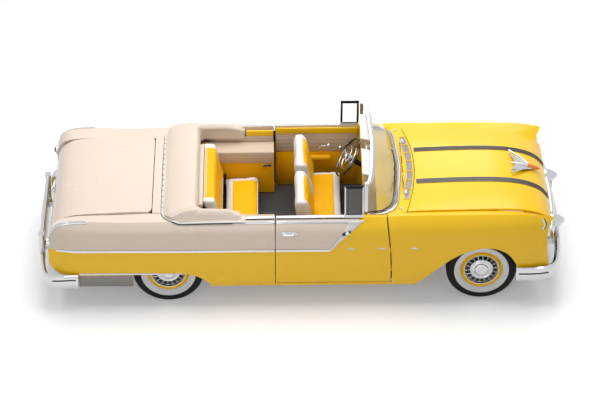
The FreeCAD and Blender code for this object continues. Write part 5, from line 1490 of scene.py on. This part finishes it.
class CAR_OT_trims(bpy.types.Operator):
    """Trims the insides of the doors and of the rear quarters"""

    bl_idname = "car.trims"
    bl_label = "Door and quarter trim"

    def execute(self, context):
        dressed("quarter_trims", "quarter_trim_pads", "yellow vinyl")
        for name, side in SIDES.items():
            self.door(name, side)
            upper = side_block("upper", side, UPPER_X, (0.5540, 0.5600), (0.735, 0.8635), "tan vinyl",
                               0.002)
            ledge = side_block("ledge", side, UPPER_X, (0.5540, 0.7580), (0.8603, 0.8640), "tan vinyl",
                               0.001)
            fitted(joined(f"quarter_upper_{name}", [upper, ledge]), "root")
            self.blocks(QUARTER_BLOCKS, name, side, "root")
            tray = side_block(f"ash_tray_{name}", side, (-0.400, -0.300), (0.548, 0.5595), (0.690, 0.722),
                              "chrome plate", 0.004)
            lip = side_block("lip", side, (-0.385, -0.315), (0.540, 0.549), (0.712, 0.719), "chrome plate",
                             0.002)
            fitted(joined(f"ash_tray_{name}", [tray, lip]), "root")
        return {"FINISHED"}

    def blocks(self, table, name, side, body):
        """The blocks of one table, on one side and body."""
        for start, x, y, z, material, edge, segments, slot in table:
            fitted(side_block(f"{start}_{name}", side, x, y, z, material, edge, segments), body)

    def door(self, name, side):
        """Garnish rail, pleated band, lower panel, armrest, winder and pull of one door."""
        body = f"door_{name}"
        self.blocks(DOOR_BLOCKS, name, side, body)
        rest = side_block(f"armrest_{name}", side, (0.005, 0.330), (0.728, 0.786), (0.632, 0.692),
                          "yellow vinyl", 0.026, 4)
        applied(rest, "SUBSURF", levels=1)
        fitted(rest, body)
        parts = []
        inward = Vector((0, -side, 0))
        for spot, tip in DOOR_LEVERS:
            hub = Vector((spot[0], side * 0.792, spot[1]))
            end = Vector((tip[0], side * 0.770, tip[1]))
            path = [hub + inward * 0.012, hub.lerp(end, 0.5) + inward * 0.012, end]
            parts.append(spun("hub", LEVER_HUB, hub, inward, "chrome plate", 24))
            parts.append(wire("arm", curved(path, 5), 0.006, "chrome plate", sides=3))
            parts.append(spun("knob", LEVER_KNOB, end, inward, "chrome plate", 20))
        fitted(joined(f"door_controls_{name}", parts), body)


# Dashboard and controls


WHEEL_CENTRE = Vector((0.489, 0.360, 0.930))
WHEEL_RAKE = math.radians(33.6)
WHEEL_AXIS = Vector((-math.cos(WHEEL_RAKE), 0, math.sin(WHEEL_RAKE)))
RIM_INSIDE = 0.196
HORN_RADIUS = 0.118
HORN_STEPS = 48
HORN_BUTTON = [(0.034, 0.0), (0.034, 0.012), (0.028, 0.020), (0.015, 0.024), (0.0, 0.025)]
# The dashboard's rear face, as (along, up) of its top and its foot.
DASH_TOP = (0.640, 0.915)
DASH_FOOT = (0.690, 0.770)
# Gauges and clock: place across, share down the face, and radius.
GAUGES = ((0.45, 0.42, 0.052), (0.30, 0.42, 0.052), (0.375, 0.72, 0.022), (-0.05, 0.45, 0.034))
RADIO_SLATS = (0.115, 0.085, 0.055, 0.145)
RADIO_KNOBS = (0.170, 0.030)
RADIO_KNOB = [(0.013, 0.0), (0.012, 0.018), (0.009, 0.021), (0.0, 0.022)]
GLOVE_LINE = (-0.60, -0.16)
DASH_PAD = [(0.655, 0.936), (0.690, 0.9655), (0.790, 0.9655), (0.790, 0.974), (0.684, 0.976),
            (0.648, 0.944)]
# Pedals: place across, half width, half height and the height of their foot.
PEDALS = ((0.330, 0.075, 0.060, 0.470), (0.215, 0.028, 0.110, 0.420))
PEDAL_TURN = -32
VISOR_TURN = 14


class CAR_OT_controls(bpy.types.Operator):
    """Finishes the dashboard, the steering wheel, the pedals, the visors and the mirror"""

    bl_idname = "car.controls"
    bl_label = "Dashboard and controls"

    def execute(self, context):
        dressed("dashboard", "dash_panel", "yellow enamel")
        cowl = bpy.data.objects["cowl_panel"]
        rows = [top_path(cowl, [(x, y) for y in spread(-0.700, 0.700, 24)]) for x in (0.625, 0.685, 0.745)]
        pad = facing(sheet_between("dash_top_pad", rows, "brown vinyl"), UP)
        on_surface(pad, cowl, 0.0005)
        fitted(raised(pad, 0.004, 0.0015), "root")
        dressed("steering_column", "column_tube", "black phenolic")
        self.instruments()
        self.wheel()
        self.pedals()
        self.header()
        return {"FINISHED"}

    def face_point(self, y, share, out):
        """A place on the dashboard's rear face: share runs from its top edge down."""
        top, foot = (Vector((x, y, z)) for x, z in (DASH_TOP, DASH_FOOT))
        normal = Vector((-(top.z - foot.z), 0, -(foot.x - top.x))).normalized()
        return top.lerp(foot, share) + normal * out, normal

    def instruments(self):
        """Gauge cluster, radio with its speaker grille, clock and glove box."""
        parts = []
        for y, share, radius in GAUGES:
            spot, normal = self.face_point(y, share, -0.002)
            bezel = [(radius, 0.0), (radius, 0.014), (radius - 0.004, 0.018), (radius - 0.009, 0.014),
                     (radius - 0.010, 0.008)]
            dial = [(radius - 0.0095, 0.0), (radius - 0.0095, 0.010), (0.0, 0.011)]
            parts.append(spun("bezel", bezel, spot, normal, "chrome plate", 32))
            parts.append(spun("dial", dial, spot, normal, "black enamel", 32))
        fitted(joined("dash_gauges", parts), "root")
        radio = []
        for y in RADIO_SLATS:
            spot, normal = self.face_point(y, 0.45, 0.004)
            radio.append(block("slat", (spot.x - 0.007, y - 0.010, spot.z - 0.040),
                               (spot.x + 0.004, y + 0.010, spot.z + 0.036), "chrome plate", 0.003))
        for y in RADIO_KNOBS:
            spot, normal = self.face_point(y, 0.70, 0.0)
            radio.append(spun("knob", RADIO_KNOB, spot, normal, "chrome plate", 20))
        line = []
        for y in GLOVE_LINE:
            spot, normal = self.face_point(y, 0.2, 0.0)
            line.append(spot + normal * 0.003)
        radio.append(wire("glove line", line, 0.004, "chrome plate"))
        fitted(joined("dash_radio", radio), "root")
        pad = prism("dash_pad", DASH_PAD, -0.768, 0.768, "black enamel", 0.003)
        fitted(pad, "root")

    def wheel(self):
        """Steering wheel: black rim, bright spokes and a horn ring."""
        def part(face):
            out = face.center - WHEEL_CENTRE
            flat = out - WHEEL_AXIS * out.dot(WHEEL_AXIS)
            return int(flat.length < RIM_INSIDE)
        dressed("steering_wheel", "wheel_and_spokes", "black phenolic", "chrome plate", choose=part,
                angle=50)
        side = WHEEL_AXIS.cross(ACROSS).normalized()
        centre = WHEEL_CENTRE + WHEEL_AXIS * 0.030
        ring = []
        for index in range(HORN_STEPS):
            turn = math.tau * index / HORN_STEPS
            ring.append(centre + (ACROSS * math.cos(turn) + side * math.sin(turn)) * HORN_RADIUS)
        pieces = [wire("ring", ring, 0.005, "chrome plate", closed=True, sides=3)]
        for turn in (0, math.pi):
            end = centre + ACROSS * math.cos(turn) * HORN_RADIUS
            pieces.append(wire("arm", [centre, end], 0.006, "chrome plate"))
        pieces.append(spun("button", HORN_BUTTON, WHEEL_CENTRE + WHEEL_AXIS * 0.022, WHEEL_AXIS,
                           "chrome plate", 36))
        fitted(joined("horn_ring", pieces), "steering_wheel")

    def pedals(self):
        """Brake and throttle pedals on their arms."""
        parts = []
        for y, wide, high, low_z in PEDALS:
            centre = Vector((0.905, y, low_z + high / 2))
            pad = block("pad", (-0.008, -wide, -high), (0.008, wide, high), "black rubber", 0.006)
            pad.data.transform(Matrix.Translation(centre) @ Matrix.Rotation(math.radians(PEDAL_TURN), 4,
                                                                            "Y"))
            parts.append(pad)
            path = [centre + ALONG * 0.006, Vector((1.050, y, 0.640)), Vector((1.062, y, 0.80))]
            parts.append(wire("arm", path, 0.008, "chassis black"))
        fitted(joined("pedals", parts), "root")

    def header(self):
        """Sun visors and the mirror below the header."""
        parts = []
        for side in SIDES.values():
            low, high = sorted((side * 0.090, side * 0.545))
            visor = block("visor", (-0.062, low, -0.008), (0.062, high, 0.008), "white vinyl", 0.007, 3)
            turn = Matrix.Rotation(math.radians(VISOR_TURN), 4, "Y")
            visor.data.transform(Matrix.Translation((0.665, 0, 1.322)) @ turn)
            parts.append(visor)
            parts.append(wire("rod", [Vector((0.700, side * 0.560, 1.325)),
                                      Vector((0.676, side * 0.555, 1.330)),
                                      Vector((0.676, side * 0.480, 1.330))], 0.005, "chrome plate"))
        fitted(joined("sun_visors", parts), "root")
        stem = wire("stem", [Vector((0.728, 0, 1.325)), Vector((0.690, 0, 1.310)),
                             Vector((0.672, 0, 1.285))],
                    0.006, "chrome plate")
        shell = block("shell", (0.650, -0.115, 1.245), (0.672, 0.115, 1.298), "chrome plate", 0.010, 3)
        fitted(joined("cabin_mirror", [stem, shell]), "root")


# Seals and small bright parts


# Seam between hood and fender, as (along, across).
HOOD_SEAM = ((1.068, 0.7526), (1.495, 0.7401), (1.975, 0.7239), (2.322, 0.6980))
# The windshield's foot and head, from one side to its middle, as (along, across) at two heights.
GLASS_FOOT = [(0.6367, 0.780), (0.822, 0.762), (0.950, 0.670), (1.0037, 0.402), (1.0384, 0.0)]
GLASS_HEAD = [(0.6367, 0.739), (0.6727, 0.704), (0.7047, 0.5745), (0.7261, 0.3256), (0.7408, 0.0)]
# The rubber on the glass's rear face and the bright strip on its front: shift, lift, radius, finish.
GLASS_SEALS = ((-0.013, 0.036, 0.007, "black rubber"), (0.016, 0.012, 0.011, "chrome plate"))
VENT_SEAL = ((0.439, 0.829, 1.052), (0.593, 0.829, 1.052), (0.593, 0.776, 1.325), (0.439, 0.776, 1.325))
FIN_Y = 0.853
LOWER_Z = 0.424
LOWER_X = (-1.20, -2.235)


class CAR_OT_details(bpy.types.Operator):
    """Adds the seals in the gaps, partly as painted shade in them, the fin caps, the lower mouldings and the trunk
    handle
    """

    bl_idname = "car.details"
    bl_label = "Seals and small parts"

    def execute(self, context):
        cowl = bpy.data.objects["cowl_panel"]
        # Black rubber seals under the hood's gaps, which also stand as painted shade where the gaps would look
        # into the dark engine bay.
        seals = []
        for name, side in SIDES.items():
            fender = bpy.data.objects[f"front_fender_{name}"]
            line = []
            for x in spread(1.060, 2.300, 24):
                y = self.seam(x)
                spot = on_top(fender, x, side * (y + 0.006))
                line.append(Vector((x, side * (y - 0.0035), spot.z - 0.032)))
            seals.append(wire("seal", line, 0.0065, "black rubber"))
        line = [Vector((hood_rear(y) - 0.004, y, on_top(cowl, hood_rear(y) - 0.014, y).z - 0.034))
                for y in spread(-0.735, 0.735, 24)]
        seals.append(wire("seal", line, 0.007, "black rubber"))
        fitted(joined("hood_seals", seals), "root")
        self.glass_seal(cowl)
        for name, side in SIDES.items():
            plate = side_block(f"splash_plate_{name}", side, (0.800, 0.960), (0.780, 0.788), (0.225, 0.335),
                               "chassis black", 0.002)
            fitted(plate, "root")
            quarter = bpy.data.objects[f"rear_quarter_{name}"]
            self.fin_cap(quarter, name, side)
            path = side_path(quarter, side, [(x, LOWER_Z) for x in spread(*LOWER_X, 30)])
            strip = moulding(f"lower_moulding_{name}", quarter, path, UP, 0.020, 0.005, "chrome plate",
                             (0, side, 0))
            fitted(strip, "root")
            ring = [Vector((x, side * y, z)) for x, y, z in VENT_SEAL]
            fitted(wire(f"vent_seal_{name}", ring, 0.006, "black rubber", closed=True), f"door_{name}")
        lid = bpy.data.objects["trunk_panel"]
        spots = [surface_hit(lid, (-3.0, y, 0.80), (1, 0, 0)) for y in (-0.06, 0.0, 0.06)]
        path = curved([spots[0], spots[1] - ALONG * 0.030, spots[2]], 8)
        bar = wire("bar", path, 0.008, "chrome plate", sides=3)
        foot = block("foot", (spots[1].x - 0.006, -0.075, 0.780), (spots[1].x + 0.002, 0.075, 0.820),
                     "chrome plate", 0.005)
        fitted(joined("trunk_handle", [bar, foot]), "trunk_lid")
        return {"FINISHED"}

    def seam(self, x):
        """Where the seam between hood and fender lies across the car."""
        for (x0, y0), (x1, y1) in zip(HOOD_SEAM, HOOD_SEAM[1:]):
            if x <= x1:
                return y0 + (y1 - y0) * (x - x0) / (x1 - x0)
        return HOOD_SEAM[-1][1]

    def glass_seal(self, cowl):
        """Black rubber and a bright strip round the windshield's foot, on both faces of the glass."""
        lines = []
        for table, z in ((GLASS_FOOT, 1.000), (GLASS_HEAD, 1.325)):
            whole = [Vector((x, y, z)) for x, y in table]
            whole += [Vector((p.x, -p.y, p.z)) for p in reversed(whole[:-1])]
            lines.append(even(curved(whole, 12), 96))
        seals = []
        for shift, lift, radius, material in GLASS_SEALS:
            path = []
            for low, high in zip(*lines):
                ground = on_top(cowl, min(low.x, 1.02), low.y).z if abs(low.y) < 0.76 else 1.0
                share = (ground + lift - low.z) / (high.z - low.z)
                path.append(low.lerp(high, share) + ALONG * shift)
            seals.append(wire("seal", path, radius, material))
        fitted(joined("windshield_seal", seals), "root")

    def fin_cap(self, quarter, name, side):
        """Bright cap along the crest of the fin and down its end."""
        y = side * FIN_Y
        path = [on_top(quarter, x, y) for x in spread(-2.135, -2.330, 10)]
        pivot = Vector((-2.300, y, 0.840))
        for lift in spread(105, 172, 12):
            turn = math.radians(lift)
            ray = Vector((math.cos(turn), 0, math.sin(turn)))
            path.append(surface_hit(quarter, pivot + ray * 0.5, -ray))
        cap = moulding(f"fin_cap_{name}", quarter, even(path, 40), ACROSS, 0.034, 0.006, "chrome plate", UP)
        fitted(cap, "root")


# Stage


# The floor's veil of white to the eye, the soft light all round, and the photograph's camera.
FLOOR_VEIL = 0.24
WORLD_LIGHT = 0.44
CAMERA_LIFT = 35.0
CAMERA_TURN = 0.79
CAMERA_LENS = 163.98
CAMERA_REACH = 28.0
CAMERA_AIM = (-0.01, 0.0, 0.648)
# Lamps: name, place, what they look at, size and watts.
LAMPS = (
    ("overhead box", (0.0, 1.0, 7.0), (0, 0, 0.5), (9.0, 6.0), 555),
    ("near box", (-3.0, -9.0, 5.0), (0, 0, 0.6), (6.0, 4.0), 110),
    ("hood strip", (2.2, 8.0, 6.4), (1.8, 0, 1.0), (2.4, 3.0), 55),
)


def seen_directly(tree):
    """1 for rays of the camera, of a reflection and through glass."""
    path = add_node(tree, "ShaderNodeLightPath")
    seen = path.outputs["Is Camera Ray"]
    for kind in ("Is Glossy Ray", "Is Transmission Ray"):
        seen = add_node(tree, "ShaderNodeMath", {0: seen, 1: path.outputs[kind]},
                        operation="MAXIMUM").outputs[0]
    return seen


class CAR_OT_stage(bpy.types.Operator):
    """Sets the floor, the lights, the background and the camera"""

    bl_idname = "car.stage"
    bl_label = "Stage"

    def execute(self, context):
        sizes = context.scene.car_sizes
        bpy.ops.object.select_all(action="DESELECT")
        bpy.ops.mesh.primitive_plane_add(size=sizes.floor_reach, location=(0, 0, 0))
        floor = bpy.context.object
        floor.name = "studio_floor"
        self.floor_finish()
        floor.data.materials.append(finish("pale floor"))
        self.world(context.scene)
        self.lamps()
        self.camera(context.scene)
        context.scene.view_settings.view_transform = "Standard"
        return {"FINISHED"}

    def floor_finish(self):
        """Pale painted floor: satin white, with a veil of white to the eye that keeps the shadow."""
        tree, shader, place = finish_tree("pale floor", {"IOR": 1.45})
        noise = grain(tree, shader, place, 400, 0, (0.2, 0.28))
        shaded(tree, shader, noise, linear("EDEBE9"), linear("F1EFEE"))
        veil = add_node(tree, "ShaderNodeMath", {0: seen_directly(tree)}, {1: FLOOR_VEIL},
                        operation="MULTIPLY").outputs[0]
        glow = add_node(tree, "ShaderNodeEmission", {"Strength": veil})
        total = add_node(tree, "ShaderNodeAddShader", {0: shader.outputs[0], 1: glow.outputs[0]})
        tree.links.new(total.outputs[0], tree.nodes["Material Output"].inputs["Surface"])

    def world(self, scene):
        """White background to the eye and in reflections, soft light on the object."""
        world = bpy.data.worlds.new("studio light")
        scene.world = world
        world.use_nodes = True
        tree = world.node_tree
        soft = tree.nodes["Background"]
        soft.inputs["Color"].default_value = linear("F4F6FA")
        soft.inputs["Strength"].default_value = WORLD_LIGHT
        white = add_node(tree, "ShaderNodeBackground", values={"Strength": 1.0})
        white.inputs["Color"].default_value = (1, 1, 1, 1)
        mix = add_node(tree, "ShaderNodeMixShader",
                       {0: seen_directly(tree), 1: soft.outputs[0], 2: white.outputs[0]})
        tree.links.new(mix.outputs[0], tree.nodes["World Output"].inputs["Surface"])

    def lamps(self):
        """A wide soft box overhead, a weaker one before the near side and one behind the hood."""
        for name, place, aim, size, power in LAMPS:
            bpy.ops.object.light_add(type="AREA", location=place)
            lamp = bpy.context.object
            lamp.name = name
            lamp.data.shape = "RECTANGLE"
            lamp.data.size, lamp.data.size_y = size
            lamp.data.energy = power
            lamp.rotation_euler = (Vector(aim) - Vector(place)).to_track_quat("-Z", "Y").to_euler()

    def camera(self, scene):
        """The photograph's long lens, high on the car's right side."""
        lift, turn = math.radians(CAMERA_LIFT), math.radians(CAMERA_TURN)
        forward = Vector((math.sin(turn) * math.cos(lift), math.cos(turn) * math.cos(lift),
                          -math.sin(lift)))
        data = bpy.data.cameras.new("long lens")
        data.sensor_width = 36
        data.lens = CAMERA_LENS
        data.clip_start, data.clip_end = 0.5, 400
        camera = bpy.data.objects.new("camera", data)
        scene.collection.objects.link(camera)
        camera.location = Vector(CAMERA_AIM) - forward * CAMERA_REACH
        camera.rotation_euler = forward.to_track_quat("-Z", "Y").to_euler()
        scene.camera = camera


class CAR_PT_panel(bpy.types.Panel):
    """Shows the car's settings and steps in the sidebar"""

    bl_idname = "CAR_PT_panel"
    bl_label = "Convertible car"
    bl_space_type = "VIEW_3D"
    bl_region_type = "UI"
    bl_category = "Car"

    def draw(self, context):
        for group in (context.scene.car_sizes, context.scene.car_colours):
            for name in group.__annotations__:
                self.layout.prop(group, name)
        for step in STEPS:
            self.layout.operator(step.bl_idname)


STEPS = (
    CAR_OT_finishes, CAR_OT_panels, CAR_OT_underside, CAR_OT_wheels, CAR_OT_side_trim, CAR_OT_belt_trim,
    CAR_OT_hood_trim, CAR_OT_ends, CAR_OT_glass, CAR_OT_seats, CAR_OT_boot, CAR_OT_trims, CAR_OT_controls,
    CAR_OT_details, CAR_OT_stage,
)
CLASSES = (CarColours, CarSizes, *STEPS, CAR_PT_panel)


def register():
    """Makes the operators, settings and panel known."""
    for kind in CLASSES:
        bpy.utils.register_class(kind)
    bpy.types.Scene.car_colours = bpy.props.PointerProperty(type=CarColours)
    bpy.types.Scene.car_sizes = bpy.props.PointerProperty(type=CarSizes)


def unregister():
    """Takes them away again."""
    del bpy.types.Scene.car_sizes
    del bpy.types.Scene.car_colours
    for kind in reversed(CLASSES):
        bpy.utils.unregister_class(kind)


def main():
    """Builds the whole scene in order."""
    register()
    for step in STEPS:
        getattr(bpy.ops.car, step.bl_idname.split(".")[1])()


if __name__ == "__main__":
    main()
